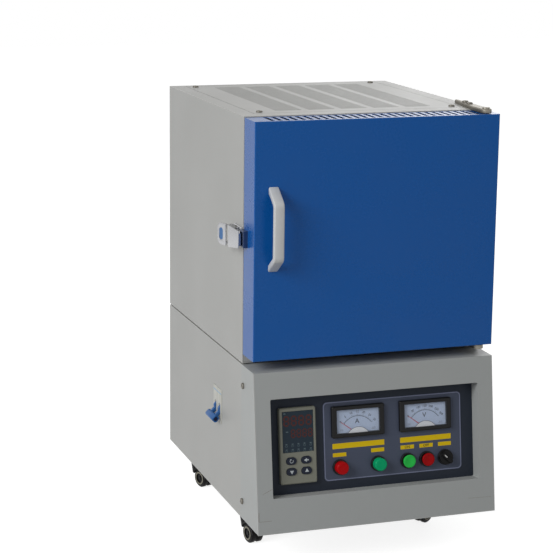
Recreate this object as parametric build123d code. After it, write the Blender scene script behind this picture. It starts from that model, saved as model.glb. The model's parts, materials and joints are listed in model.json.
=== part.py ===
from build123d import *
import os
from math import atan2, cos, radians, sin

os.makedirs("parts", exist_ok=True)

# Bench muffle furnace: a small electric box furnace standing on a castored control cabinet.
#
# Everything is drawn in millimetres with X across the furnace (0 on its middle plane), Y towards the
# back (0 on the front face of the furnace body) and Z up (0 on the underside of the cabinet).  The
# finished pieces are moved at the very end, so that the origin lies on the floor under the middle.

# ------------------------------------------------------------------ driving dimensions, millimetres

cabinet_height = 200.0
seam = 2.0                    # gap between cabinet and body
sheet = 1.5                   # steel sheet of all the housings
fit_gap = 0.3                 # between pieces that slip inside one another
screw_gap = 0.1               # round the shank of a screw

console_top_reach = 45.0      # the console's front edge in front of the body, at its top
console_bottom_reach = 71.0   # and at its foot
console_joint = 3.0           # where the console's cheeks meet the cabinet

recess_inset = 20.5           # of the recess from the sides of the cabinet
recess_low = 44.0             # heights on the console are measured up its slope
recess_high = 168.0
recess_depth = 19.0
panel_thickness = 2.0
panel_margin = 10.0           # how far the panel passes behind the recess's walls

overlay_left = -65.0
overlay_right = 123.0
overlay_low = 55.5
overlay_high = 156.0
overlay_thickness = 0.8
overlay_corner = 5.5

controller_x = -100.5
controller_s = 105.5
controller_width = 48.0
controller_height = 96.0
controller_proud = 7.0
controller_depth = 72.0
controller_neck = 44.6        # the case behind its bezel
display_rise = 18.0           # display centre above the controller's centre
display_width = 41.0
display_height = 52.0
window_thickness = 1.2
window_sink = 1.0             # of the window's middle plane under the bezel's face
key_width = 13.6
key_height = 9.2
key_travel = 0.8
key_pitch_x = 19.8
key_pitch_s = 13.5
key_drop = 25.2               # centre of the four keys below the controller's centre

meter_xs = (-19.25, 72.4)
meter_s = 130.0
meter_width = 70.5
meter_height = 40.0
meter_proud = 5.0
meter_window_width = 58.0
meter_window_height = 30.0
meter_barrel_radius = 18.0
meter_barrel_depth = 30.0
needle_reach = 28.0
needle_rest = 54.0            # degrees to the left of upright

control_s = 72.5
lamp_xs = (-44.0, 7.5)
button_xs = (48.0, 74.0)
selector_x = 99.5
knob_radius = 9.2
knob_disc = 3.4
knob_grip = 4.2
knob_rest = -135.0            # degrees that the knob's grip stands turned
collar_radius = 10.0
collar_proud = 3.0
collar_barrel = 7.9
collar_length = 18.0
nut_radius = 10.5
nut_thickness = 4.0
lens_radius = 6.9
lens_proud = 12.0
lens_rim = 1.3                # lenses and caps are wider in front of their collars
cap_proud = 8.0
dish_radius = 22.8
dish_depth = 0.8
cap_travel = 3.0

breaker_y = 104.0
breaker_z = 120.3
breaker_width = 36.0
breaker_height = 82.0
breaker_nose_height = 45.0
breaker_depth = 66.0
breaker_nose_depth = 20.0
rail_width = 35.0             # mounting rail that the breaker clips on
rail_depth = 7.5
rail_sheet = 1.0
rail_lip = 5.0
rail_length = 60.0
post_width = 30.0
post_foot = 22.0
toggle_rest = 48.0            # degrees below level
toggle_reach = 15.0
toggle_pivot_depth = 2.5
toggle_drop = 4.6             # pivot below the middle of the breaker
tie_length = 32.0             # hollow bar that ties the two levers
tie_width = 9.0
tie_thickness = 7.5
tie_round = 3.0
tie_wall = 1.6
tie_bore = 4.0

caster_inset = 31.0           # kingpins from the sides of the cabinet
caster_front = 67.7           # and behind the front of the body
caster_rear = 41.0            # and from its back
caster_height = 56.0
caster_turns = (192.0, 120.0, 200.0, 170.0)   # how far each one stands turned
wheel_radius = 13.0
wheel_width = 7.2
wheel_face_radius = 9.4       # raised ring on the outer face of each wheel
wheel_dish_radius = 6.4
wheel_trail = 14.0
caster_web = 3.5
axle_radius = 2.2

chamber_half_width = 60.0
chamber_height = 120.0
chamber_depth = 240.0
board = 65.0                  # thickness of the fibre boards
casing_sheet = 1.2
side_air = 32.3               # between the casing and the sides of the body
rear_air = 32.3
top_air = 22.3
casing_feet = 30.3            # height of the casing's feet
casing_foot_width = 20.0
casing_foot_inset = 20.0      # of the feet from the casing's sides and back
casing_foot_front = 30.0
mouth_margin = 20.0           # of the opening in the front plate round the chamber
front_fold = 12.0             # the front plate's folded edge
rear_bank_count = 9
rear_bank_pitch = 20.0
rear_bank_rise = 70.0
board_joint = 0.2             # cement joint between the side boards and the others
hearth_thickness = 8.0
hearth_side_gap = 4.0
hearth_front_gap = 6.0        # behind the tip of the plug
hearth_back_gap = 18.0
hearth_corner = 4.0
probe_radius = 4.0
probe_reach = 25.0            # of the thermocouple into the chamber
probe_tip = 3.0
probe_overlap = 4.0
probe_head_radius = 11.0
probe_head_length = 18.0
groove_width = 8.0
groove_depth = 7.0
groove_count = 4
groove_pitch = 26.0
coil_radius = 2.6

cover_edge = 20.5             # the body's top rim beside the cover
cover_front = 25.0
cover_rim_back = 8.0
bank_count = 5
bank_width = 35.0
bank_pitch = 43.7
bank_start = 47.0
bank_margin = 15.0            # from the last slot to the cover's back edge
slot_pitch = 8.0
slot_width = 3.2

door_foot_gap = 12.0          # door's lower edge above the body's
door_head_gap = 1.0
door_front = 43.0             # door's face in front of the body
door_gap = 2.0
door_sheet = 1.5
door_corner = 5.0             # on the edge that turns past the body
door_slot_pitch = 10.0
door_slot_width = 5.0
door_slot_inset = 22.0        # first slot from the door's edge
plug_gap = 3.0                # round the plug's root in the chamber's mouth
plug_taper = 11.0
plug_margin = 5.0             # of the liner's opening round the plug
plug_length = 40.0
plug_block_half = 100.0
plug_block_depth = 30.0

hinge_inset = 15.0            # pivot from the body's right side
hinge_forward = 33.0          # pivot in front of the body
hinge_pin_radius = 3.0
hinge_arm_width = 14.0
hinge_arm_thickness = 5.0
hinge_arm_back = 68.0         # rear tip of the upper arm
hinge_tip_width = 4.0
hinge_taper = -8.0            # where the upper arm starts to narrow
hinge_arm_round = 1.6
hinge_screws = ((0.4, 17.0), (2.8, 35.0))     # from the pin's line, and behind the body's front
hinge_pin_head = 4.6
hinge_pin_head_height = 1.6
hinge_foot_reach = 35.0       # lower arm's foot to the left of the pin
hinge_foot_screws = (28.0, 14.0)
hinge_foot_rise = 7.0
hinge_foot_gap = 1.0
hinge_pin_length = 14.0
pin_clearance = 0.06

handle_inset = 24.0           # from the door's left edge
handle_rise = 18.0            # above the middle of the chamber
handle_length = 105.0
handle_grip = 70.0
handle_standoff = 25.0
handle_width = 15.0
handle_thickness = 7.0

latch_rise = 2.0              # above the middle of the chamber
latch_width = 27.0
claw_tip_width = 21.5
latch_pivot_out = 6.0
latch_pivot_y = 5.0
latch_arm = 12.0              # from the lever's pivot to the claw's
latch_rest = 20.0             # degrees that the lever stands off the body
latch_reach = 34.0            # lever's pivot to the end of its tail
latch_sheet = 1.4
latch_pin_radius = 1.5
keeper_length = 15.0
keeper_width = 21.0
keeper_proud = 6.0
keeper_back = 3.0             # keeper's rear end in front of the body

fan_x = 60.0
fan_z = 100.0
fan_size = 80.0
fan_depth = 25.0
fan_bore = 37.0
fan_hub = 17.0
sink_place = (-60.0, 150.0)   # left front corner of the power controller's heat sink
sink_width = 60.0
sink_length = 100.0
sink_height = 34.0
sink_base = 6.0
sink_fins = 7
sink_fin = 2.4
module_inset = 14.0
module_top = 44.0
gland_x = -90.0
gland_z = 40.0
gland_bore = 4.5
gland_wall = 3.5
gland_neck = 12.0             # threaded neck inside the plate
gland_grip = 11.0             # length of the dome nut
gland_hex = 5.0               # thickness of the hexagon against the plate
gland_hex_radius = 12.0
gland_dome_radius = 9.6
rear_slot_count = 6
rear_slot_pitch = 11.0
rear_slot_length = 60.0
rear_slot_height = 4.0

screw_head = 4.0
screw_head_height = 2.2
screw_shank = 1.9

console_screw_low = 23.0      # above the foot of the cabinet
console_screw_high = 26.0     # and below its top
console_screw_y = -4.6
tongue_reach = 16.0           # of the tongues that the console's cheeks are screwed to
tongue_weld = 12.0
screw_inset = 20.0            # rear screws from the top and bottom of their plates
screw_edge = 7.0              # and from the sides
flange = 13.0                 # folded flange round the back of the housings
screw_length = 8.0

key_well = 3.0                # depth of the wells that the keys move in
key_proud = 1.4
meter_floor_lift = 0.6        # floor of the meters' windows above the overlay
dial_thickness = 0.8
meter_pocket_half = 9.0       # pocket for the needle's root behind the bezel's lower bar
meter_pocket_low = 19.5
meter_pocket_depth = 2.4
dial_tongue_half = 6.0
hub_cover_radius = 11.0       # half-round cover over the needle's root
hub_cover_lift = 1.9
hub_cover_thickness = 0.4
glass_thickness = 1.2
glass_sink = 0.6
needle_hub_radius = 2.2
needle_lift = 0.3             # needle above the dial
needle_thickness = 0.5
pivot_radius = 0.9
pivot_drop = 17.0             # pivot below the window's centre
bore_floor = -6.0             # floor of the bore in each collar, from the panel's face
stem_radius = 2.5

drum_radius = 5.0
pocket_half = 7.6             # half the height of the toggle's slots in the breaker's face
lever_width = 5.0

fan_bolt = 35.75
fan_shaft = 2.0
guard_ear = 2.0
guard_ear_radius = 6.0
guard_rings = (10.0, 19.0, 28.0, 37.0)
guard_wire = 1.8
guard_spoke_start = 9.3
guard_spoke_end = 42.3
guard_link_start = 22.0
guard_link_end = 46.3

caster_plate = 2.5
caster_plate_half = 21.0
caster_boss = 8.0
caster_neck_top = 13.0
caster_neck_foot = 8.5
kingpin_radius = 4.0
hood_clearance = 0.8
hood_wall = 1.5
hood_rim = 4.0                # rim of the hood above the axle

cover_screw_inset = 31.0
cover_lip = 9.0
cover_gap = 0.5               # open joint round the cover
spacer_radius = 9.0
spacer_inset = 30.0
groove_front = 18.0
groove_rear_margin = 12.0

lower_flange = 4.0
boss_radius = 7.0

pivot_block = 9.0

tail_rise = 3.4                       # tail's outer face off the line of the pivots
latch_eye = 2.9                       # radius of the rounded ends round the fixed pin

# ------------------------------------------------------------------------------- derived dimensions

width = 2 * (chamber_half_width + board + casing_sheet + side_air + sheet)   # of cabinet, body and door
body_depth = chamber_depth + board + casing_sheet + rear_air + sheet
body_height = 2 * (sheet + board + casing_sheet) + casing_feet + chamber_height + top_air
half = width / 2
body_floor = cabinet_height + seam
body_top = body_floor + body_height
chamber_base = body_floor + sheet + casing_feet + casing_sheet + board
recess_half_width = half - recess_inset
slope = atan2(console_bottom_reach - console_top_reach, cabinet_height)
panel_d = -recess_depth       # front of the panel, along the console's normal
chamber_mid = chamber_base + chamber_height / 2
board_half = chamber_half_width + board
casing_back = chamber_depth + board + casing_sheet
door_back = -door_gap
hinge_x = half - hinge_inset
hinge_y = -hinge_forward
casing_floor = chamber_base - board - casing_sheet
mouth_half = max(chamber_half_width, chamber_height / 2) + mouth_margin
door_bottom = body_floor + door_foot_gap
door_top = body_top - door_head_gap
door_slot_first = -half + door_slot_inset
door_slot_count = int((width - 2 * door_slot_inset + door_slot_width) // door_slot_pitch)
plug_size = (2 * (chamber_half_width - plug_gap), chamber_height - 2 * plug_gap)
handle_x = -half + handle_inset
handle_z = chamber_mid + handle_rise
latch_z = chamber_mid + latch_rise
console_plane = Plane(
    origin=(0, -console_bottom_reach, 0),
    x_dir=(1, 0, 0),
    z_dir=(0, -cos(slope), sin(slope)),
)

console_screws = [
    (side, z) for side in (-1, 1) for z in (console_screw_low, cabinet_height - console_screw_high)
]
back_screws = [
    (side * (half - screw_edge), z) for side in (-1, 1) for z in (screw_inset, cabinet_height - screw_inset)
]

key_places = [
    (side * key_pitch_x / 2, -key_drop + rise * key_pitch_s / 2) for rise in (1, -1) for side in (-1, 1)
]

breaker_front = -half - 0.5
toggle_x = -half + toggle_pivot_depth
toggle_z = breaker_z - toggle_drop
lever_ys = (breaker_y - breaker_width / 4, breaker_y + breaker_width / 4)

fan_bolts = [(i * fan_bolt, j * fan_bolt) for i in (-1, 1) for j in (-1, 1)]
fan_front = body_depth - sheet - fan_depth

caster_bolts = [(i * 15.5, j * 15.5) for i in (-1, 1) for j in (-1, 1)]
axle_drop = caster_height - wheel_radius
caster_x = half - caster_inset
caster_ys = (caster_front, body_depth - caster_rear)
caster_corners = {
    "front_left": (-caster_x, caster_ys[0]),
    "front_right": (caster_x, caster_ys[0]),
    "rear_left": (-caster_x, caster_ys[1]),
    "rear_right": (caster_x, caster_ys[1]),
}
caster_turn = dict(zip(caster_corners, caster_turns))

cover_screws = [
    (side * (half - cover_screw_inset), y)
    for side in (-1, 1) for y in (cover_front + 11, body_depth - cover_rim_back - 14)
]
body_back_screws = [
    (side * (half - screw_edge), z)
    for side in (-1, 1) for z in (body_floor + screw_inset, body_top - screw_inset)
]
spacer_places = [
    (side * (half - spacer_inset), y) for side in (-1, 1) for y in (spacer_inset, body_depth - spacer_inset)
]
coil_x = chamber_half_width + groove_depth / 2
thermocouple_z = chamber_base + chamber_height * 0.62
groove_zs = [chamber_mid + (i - (groove_count - 1) / 2) * groove_pitch for i in range(groove_count)]
lead_places = [(side * coil_x, z) for side in (-1, 1) for z in (groove_zs[0], groove_zs[-1])]
groove_back = chamber_depth - groove_rear_margin

upper_arm_screws = [(hinge_x + dx, y) for dx, y in hinge_screws]
lower_arm_screw_xs = [hinge_x - reach for reach in hinge_foot_screws]
lower_arm_screw_z = body_floor + hinge_foot_rise
lower_arm_top = door_bottom - hinge_foot_gap

handle_screws = [handle_z - handle_length / 2 + 5.5, handle_z + handle_length / 2 - 5.5]
liner_screws = [(side * (plug_block_half - 12), chamber_mid + up * (plug_block_half - 12))
                for side in (-1, 1) for up in (-1, 1)]

latch_screws = [(27.0, latch_z - 6), (27.0, latch_z + 6)]
ear_half = latch_width / 2 - 4.4      # outer face of the base's ears from the latch's middle
lever_half = latch_width / 2 - 2.0    # outer face of the lever's flanges
rest = radians(latch_rest)
pivot_a = (-half - latch_pivot_out, latch_pivot_y)
pivot_b = (pivot_a[0] - latch_arm * sin(rest), pivot_a[1] + latch_arm * cos(rest))


# ------------------------------------------------------------------------------------ common shapes

def block(x0, x1, y0, y1, z0, z1):
    """A box between two corners."""
    return Pos((x0 + x1) / 2, (y0 + y1) / 2, (z0 + z1) / 2) * Box(x1 - x0, y1 - y0, z1 - z0)


def rod(x, y, z, radius, length, axis="Z"):
    """A round bar that starts at a point and runs along an axis, backwards if its length is negative."""
    turn = {"X": Rot(0, 90, 0), "Y": Rot(-90, 0, 0), "Z": Rot(0, 0, 0)}[axis]
    bar = Cylinder(radius, abs(length), align=(Align.CENTER, Align.CENTER, Align.MIN))
    if length < 0:
        bar = Rot(180, 0, 0) * bar
    return Pos(x, y, z) * turn * bar


def on_console(shape):
    """Place a shape drawn flat (x across, y up the slope, z outwards) on the console's front."""
    return console_plane.location * shape


def pan_screw(length):
    """A pan-head screw: underside of its head on z = 0, shank going down."""
    rim = 0.8
    rise = screw_head_height - rim
    dome = (screw_head ** 2 + rise ** 2) / (2 * rise)
    head = Cylinder(screw_head, screw_head_height, align=(Align.CENTER, Align.CENTER, Align.MIN))
    head &= Pos(0, 0, screw_head_height - dome) * Sphere(dome)
    return head + Cylinder(screw_shank, length, align=(Align.CENTER, Align.CENTER, Align.MAX))


def grouped(solids):
    """Several separate solids as one node."""
    flat = []
    for shape in solids:
        flat.extend(shape.solids())
    return Compound(children=flat)


# ---------------------------------------------------------------------------------- control cabinet


def side_screw(side, y, z):
    """A screw driven into a side wall from outside."""
    return Pos(side * half, y, z) * Rot(0, side * 90, 0) * pan_screw(screw_length)


def rear_screw(x, z):
    """A screw driven forwards into a rear plate."""
    return Pos(x, body_depth, z) * Rot(-90, 0, 0) * pan_screw(screw_length)


def cabinet_shell():
    """Folded cabinet: floor, roof and two sides, tongues behind the console, flanges at the back."""
    inner = half - sheet
    shell = block(-half, half, console_joint, body_depth, 0, cabinet_height)
    shell -= block(-inner, inner, console_joint - 1, body_depth + 1, sheet, cabinet_height - sheet)
    flange_y = body_depth - 2 * sheet
    for side in (-1, 1):
        edge = side * inner
        strip = sorted((edge, edge - side * flange))
        shell += block(*strip, flange_y, flange_y + sheet, sheet, cabinet_height - sheet)
        tongue = sorted((edge, edge - side * sheet))
        shell += block(
            *tongue, -tongue_reach, console_joint + tongue_weld, 4 * sheet, cabinet_height - 4 * sheet)
    window = breaker_width + 2
    tall = breaker_nose_height / 2 + fit_gap
    shell -= block(
        -half - 1, -inner + 1, breaker_y - window / 2, breaker_y + window / 2,
        breaker_z - tall, breaker_z + tall)
    shell += breaker_post()
    for side, z in console_screws:
        shell -= rod(side * (half - 10), console_screw_y, z, screw_shank + screw_gap, side * 12, "X")
    for x, z in back_screws:
        shell -= rod(x, flange_y - 1, z, screw_shank + screw_gap, sheet + 2, "Y")
    for side in (-1, 1):
        for y in caster_ys:
            for dx, dy in caster_bolts:
                shell -= rod(side * caster_x + dx, y + dy, -1, screw_shank + screw_gap, sheet + 2)
    return shell


def breaker_post():
    """Bracket standing on the cabinet's floor, with the rail that the breaker clips on."""
    front = -half + breaker_depth
    back = front + rail_depth
    low = breaker_z - rail_width / 2
    high = breaker_z + rail_width / 2
    y0 = breaker_y - rail_length / 2
    y1 = breaker_y + rail_length / 2
    post_ys = (breaker_y - post_width / 2, breaker_y + post_width / 2)
    post = block(back, back + sheet, *post_ys, sheet, high - rail_lip)
    foot = block(back, back + post_foot, *post_ys, sheet, 2 * sheet)
    rail = block(back - rail_sheet, back, y0, y1, low + rail_lip, high - rail_lip)
    for z0 in (low, high - rail_lip):
        rail += block(front, front + rail_sheet, y0, y1, z0, z0 + rail_lip)
    for z0 in (low + rail_lip - rail_sheet, high - rail_lip):
        rail += block(front, back, y0, y1, z0, z0 + rail_sheet)
    return post + foot + rail


def console_profile(inset, back):
    """Side outline of the console as a face in the YZ plane, drawn in by the sheet's thickness."""
    run = console_bottom_reach - console_top_reach
    lean = run / cabinet_height
    step = inset / cos(slope)
    bottom = -console_bottom_reach + step + inset * lean
    top = -console_top_reach + step - inset * lean
    points = [(back, inset), (bottom, inset), (top, cabinet_height - inset), (back, cabinet_height - inset)]
    return Plane.YZ * make_face(Polyline(*points, close=True))


def console_front():
    """Sloped front shell of the cabinet, folded round the sides, with the sleeve of the panel's recess."""
    outer = extrude(console_profile(0, console_joint), half, both=True)
    hollow = extrude(console_profile(sheet, console_joint + 1), half - sheet, both=True)
    shell = outer - hollow
    middle = (recess_low + recess_high) / 2
    tall = recess_high - recess_low
    sleeve = Box(2 * recess_half_width + 2 * sheet, tall + 2 * sheet, recess_depth)
    opening = Box(2 * recess_half_width, tall, 3 * recess_depth)
    opening = fillet(opening.edges().filter_by(Axis.Z), 2)
    shell += on_console(Pos(0, middle, -recess_depth / 2) * sleeve)
    shell -= on_console(Pos(0, middle, -recess_depth / 2) * opening)
    for side, z in console_screws:
        shell -= rod(side * (half - 10), console_screw_y, z, screw_shank + screw_gap, side * 12, "X")
    return shell


def cabinet_back():
    """Rear plate of the cabinet: fan opening, gland hole and a bank of slots."""
    edge = half - sheet - fit_gap
    low = sheet + fit_gap
    plate = block(-edge, edge, body_depth - sheet, body_depth, low, cabinet_height - low)
    plate -= rod(fan_x, body_depth - 5, fan_z, fan_bore, 10, "Y")
    plate -= rod(gland_x, body_depth - 5, gland_z, gland_bore + gland_wall + screw_gap, 10, "Y")
    for row in range(rear_slot_count):
        z = fan_z + row * rear_slot_pitch
        plate -= block(
            gland_x - rear_slot_length / 2, gland_x + rear_slot_length / 2, body_depth - 5, body_depth + 5,
            z, z + rear_slot_height)
    for x, z in back_screws:
        plate -= rod(x, body_depth - 5, z, screw_shank + screw_gap, 10, "Y")
    for dx, dz in fan_bolts:
        plate -= rod(fan_x + dx, body_depth - 5, fan_z + dz, screw_shank + screw_gap, 10, "Y")
    return plate


# ------------------------------------------------------------------------------------ control panel

def at_panel(x, s, d, shape):
    """Place a shape on the panel: d is its height above the panel's front face."""
    return on_console(Pos(x, s, panel_d + d) * shape)


def control_panel():
    """Recessed panel plate with its cut-outs."""
    middle = (recess_low + recess_high) / 2
    tall = recess_high - recess_low + 2 * panel_margin
    wide = 2 * (recess_half_width + panel_margin)
    plate = at_panel(0, middle, -panel_thickness / 2, Box(wide, tall, panel_thickness))
    neck = Box(controller_neck + 2 * fit_gap, controller_height - 4 + 2 * fit_gap, 20)
    plate -= at_panel(controller_x, controller_s, 0, neck)
    for x in meter_xs:
        plate -= at_panel(x, meter_s, 0, Cylinder(meter_barrel_radius + fit_gap, 20))
    for x in (*lamp_xs, *button_xs, selector_x):
        plate -= at_panel(x, control_s, 0, Cylinder(collar_barrel + screw_gap, 20))
    return plate


def panel_overlay():
    """Thin printed plate round the meters, lamps and buttons, with rounded corners."""
    wide = overlay_right - overlay_left
    tall = overlay_high - overlay_low
    plate = Box(wide, tall, overlay_thickness)
    plate = fillet(plate.edges().filter_by(Axis.Z), overlay_corner)
    centre_x = (overlay_left + overlay_right) / 2
    centre_s = (overlay_low + overlay_high) / 2
    sheet_piece = at_panel(centre_x, centre_s, overlay_thickness / 2, plate)
    for x in meter_xs:
        sheet_piece -= at_panel(x, meter_s, 0, Cylinder(meter_barrel_radius + fit_gap, 20))
    for x in (*lamp_xs, *button_xs, selector_x):
        sheet_piece -= at_panel(x, control_s, 0, Cylinder(collar_barrel + screw_gap, 20))
    return sheet_piece


def controller_case():
    """Moulded case of the temperature controller: bezel, neck, display recess and key wells."""
    bezel = Box(controller_width, controller_height, controller_proud)
    bezel = fillet(bezel.edges().filter_by(Axis.Z), 2.5)
    bezel = chamfer(bezel.faces().sort_by(Axis.Z)[-1].edges(), 1.2)
    bezel = Pos(0, 0, controller_proud / 2) * bezel
    neck = Pos(0, 0, -controller_depth / 2) * Box(controller_neck, controller_height - 4, controller_depth)
    for side in (-1, 1):
        neck += Pos(0, side * (controller_height / 2 - 1.5), -12) * Box(12, 3, 6)
        neck -= Pos(0, side * controller_height / 2, -panel_thickness / 2) * Box(
            controller_width, 6, panel_thickness + 2 * fit_gap)
    case = bezel + neck
    window = Box(display_width, display_height, 2 * window_sink + window_thickness)
    case -= Pos(0, display_rise, controller_proud) * window
    for dx, ds in key_places:
        well = SlotOverall(key_width + 2 * fit_gap, key_height + 2 * fit_gap)
        case -= Pos(dx, ds, controller_proud - key_well) * extrude(well, 10)
    return at_panel(controller_x, controller_s, 0, case)


def controller_window():
    """Tinted display window, let into the controller's face."""
    pane = Box(display_width - 2 * fit_gap, display_height - 2 * fit_gap, window_thickness)
    lift = controller_proud - window_sink
    return at_panel(controller_x, controller_s + display_rise, lift, pane)


def controller_key(index):
    """One oval key of the controller, on its own short stem."""
    dx, ds = key_places[index]
    key = extrude(SlotOverall(key_width, key_height), key_well - key_travel - fit_gap + key_proud)
    key = fillet(key.faces().sort_by(Axis.Z)[-1].edges(), 0.6)
    lift = controller_proud - key_well + key_travel + fit_gap
    return at_panel(controller_x + dx, controller_s + ds, lift, key)


def meter_cases():
    """Two meter cases: a rectangular bezel frame in front, a round barrel through the panel."""
    cases = []
    for x in meter_xs:
        rim = Box(meter_width, meter_height, meter_proud)
        rim = fillet(rim.edges().filter_by(Axis.Z), 2)
        rim = chamfer(rim.faces().sort_by(Axis.Z)[-1].edges(), 1)
        rim -= Pos(0, 0, meter_floor_lift) * Box(meter_window_width, meter_window_height, meter_proud)
        pocket_base = meter_floor_lift - meter_proud / 2
        rim -= block(
            -meter_pocket_half, meter_pocket_half, -meter_pocket_low, -meter_window_height / 2 + 1,
            pocket_base, pocket_base + meter_pocket_depth)
        rim = Pos(0, 0, overlay_thickness + meter_proud / 2) * rim
        barrel = Pos(0, 0, -meter_barrel_depth / 2 + overlay_thickness) * Cylinder(
            meter_barrel_radius, meter_barrel_depth)
        cases.append(at_panel(x, meter_s, 0, rim + barrel))
    return grouped(cases)


def meter_floor():
    """Height of the meter window's floor above the panel."""
    return overlay_thickness + meter_floor_lift


def meter_dials():
    """Two dial plates, each with its pivot post and the half-round cover over the needle's root."""
    dials = []
    for x in meter_xs:
        wide = meter_window_width - 2 * fit_gap
        tall = meter_window_height - 2 * fit_gap
        plate = Pos(0, 0, dial_thickness / 2) * Box(wide, tall, dial_thickness)
        plate += block(
            -dial_tongue_half, dial_tongue_half, -meter_pocket_low + fit_gap, -tall / 2 + 1,
            0, dial_thickness)
        post = rod(0, -pivot_drop, 0, pivot_radius, hub_cover_lift)
        cover = rod(0, -pivot_drop, hub_cover_lift, hub_cover_radius, hub_cover_thickness)
        cover &= Box(wide, tall, 10)
        dial = plate + post + cover
        for side in (-1, 1):
            leg_x = side * (hub_cover_radius - 1.6)
            dial += block(leg_x - 0.5, leg_x + 0.5, -tall / 2, -tall / 2 + 0.8, 0, hub_cover_lift + 0.2)
        dials.append(at_panel(x, meter_s, meter_floor(), dial))
    return grouped(dials)


def meter_needle(index):
    """A meter's needle: hub on the pivot post, tapered pointer, lying at the scale's zero."""
    hub = Cylinder(needle_hub_radius, needle_thickness)
    pointer = make_face(Polyline(
        (-0.6, 0), (-0.25, needle_reach), (0.25, needle_reach), (0.6, 0), close=True,
    ))
    needle = hub + Pos(0, 0, -needle_thickness / 2) * extrude(pointer, needle_thickness)
    needle -= Cylinder(pivot_radius + 0.05, 4)
    turned = Rot(0, 0, needle_rest) * needle
    lift = meter_floor() + dial_thickness + needle_lift + needle_thickness / 2
    return at_panel(meter_xs[index], meter_s - pivot_drop, lift, turned)


def meter_glasses():
    """Two window panes in front of the dials."""
    panes = []
    for x in meter_xs:
        pane = Box(meter_window_width, meter_window_height, glass_thickness)
        lift = overlay_thickness + meter_proud - glass_sink - glass_thickness / 2
        panes.append(at_panel(x, meter_s, lift, pane))
    return grouped(panes)


def switch_collars():
    """Five threaded collars with their nuts, through the panel."""
    rings = []
    for x in (*lamp_xs, *button_xs, selector_x):
        ring = Cylinder(collar_radius, collar_proud)
        ring = Pos(0, 0, overlay_thickness + collar_proud / 2) * fillet(
            ring.faces().sort_by(Axis.Z)[-1].edges(), 0.8)
        barrel = Pos(0, 0, overlay_thickness - collar_length / 2) * Cylinder(collar_barrel, collar_length)
        collar = ring + barrel
        collar -= Pos(0, 0, bore_floor) * Cylinder(
            lens_radius + fit_gap, 30, align=(Align.CENTER, Align.CENTER, Align.MIN))
        if x not in lamp_xs:
            collar -= Cylinder(stem_radius + fit_gap, 60)
        rings.append(at_panel(x, control_s, 0, collar))
        nut = extrude(RegularPolygon(nut_radius, 6) - Circle(collar_barrel + fit_gap), nut_thickness)
        rings.append(at_panel(x, control_s, -panel_thickness - nut_thickness, nut))
    return grouped(rings)


def lamp(index):
    """Signal lamp lens: a plain cap with a domed front, seated on its collar's floor."""
    top = overlay_thickness + lens_proud
    low = overlay_thickness + collar_proud + fit_gap
    skirt = rod(0, 0, bore_floor, lens_radius, low + 1 - bore_floor)
    head = rod(0, 0, low, lens_radius + lens_rim, top - low)
    head = fillet(head.faces().sort_by(Axis.Z)[-1].edges(), 1.8)
    return at_panel(lamp_xs[index], control_s, 0, skirt + head)


def push_button(index):
    """Push-button: dished cap, skirt in the collar's bore, and a stem through the collar's floor."""
    top = overlay_thickness + cap_proud
    low = overlay_thickness + collar_proud + fit_gap + cap_travel
    head = rod(0, 0, low, lens_radius + lens_rim, top - low)
    head = fillet(head.faces().sort_by(Axis.Z)[-1].edges(), 0.7)
    dish = Pos(0, 0, top + dish_radius - dish_depth) * Sphere(dish_radius)
    skirt_low = bore_floor + cap_travel + fit_gap
    skirt = rod(0, 0, skirt_low, lens_radius, low + 0.5 - skirt_low)
    stem = rod(0, 0, overlay_thickness - collar_length, stem_radius, collar_length + 2)
    return at_panel(button_xs[index], control_s, 0, head + skirt + stem - dish)


def selector_knob():
    """Turning knob with a raised finger grip, on a stem through its collar."""
    low = overlay_thickness + collar_proud + fit_gap
    disc = rod(0, 0, low, knob_radius, knob_disc)
    disc = fillet(disc.faces().sort_by(Axis.Z)[-1].edges(), 1.0)
    grip = Pos(0, 0, low + knob_disc + knob_grip / 2) * Box(5.2, 2 * knob_radius - 0.8, knob_grip)
    grip = fillet(grip.edges().filter_by(Axis.Z), 2.2)
    grip = fillet(grip.faces().sort_by(Axis.Z)[-1].edges(), 0.8)
    stem = rod(
        0, 0, overlay_thickness - collar_length - 2, stem_radius + fit_gap - pin_clearance, collar_length + 6)
    knob = Rot(0, 0, knob_rest) * (disc + grip + stem)
    return at_panel(selector_x, control_s, 0, knob)


# ---------------------------------------------------------------------------------- circuit breaker


def breaker_case():
    """Two-pole breaker: stepped case with the nose in the cabinet's window, clipped on its rail."""
    back = -half + breaker_depth
    shoulder = breaker_front + breaker_nose_depth
    low_y = breaker_y - breaker_width / 2
    high_y = breaker_y + breaker_width / 2
    nose_half = breaker_nose_height / 2
    case = block(breaker_front, back, low_y, high_y, breaker_z - nose_half, breaker_z + nose_half)
    case += block(
        shoulder, back, low_y, high_y, breaker_z - breaker_height / 2, breaker_z + breaker_height / 2)
    case -= block(
        breaker_front - 1, shoulder, breaker_y - 0.4, breaker_y + 0.4, 0, breaker_z + breaker_height)
    for y in lever_ys:
        for side in (-1, 1):
            z = breaker_z + side * (nose_half + breaker_height / 2) / 2
            case -= rod(shoulder - 1, y, z, 3.2, 6, "X")
    for y in lever_ys:
        gap = lever_width / 2 + fit_gap
        pocket = rod(toggle_x, y - gap, toggle_z, drum_radius + fit_gap, 2 * gap, "Y")
        mouth = block(
            breaker_front - 1, toggle_x, y - gap, y + gap, toggle_z - pocket_half, toggle_z + pocket_half)
        case -= pocket + mouth
    return case


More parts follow.
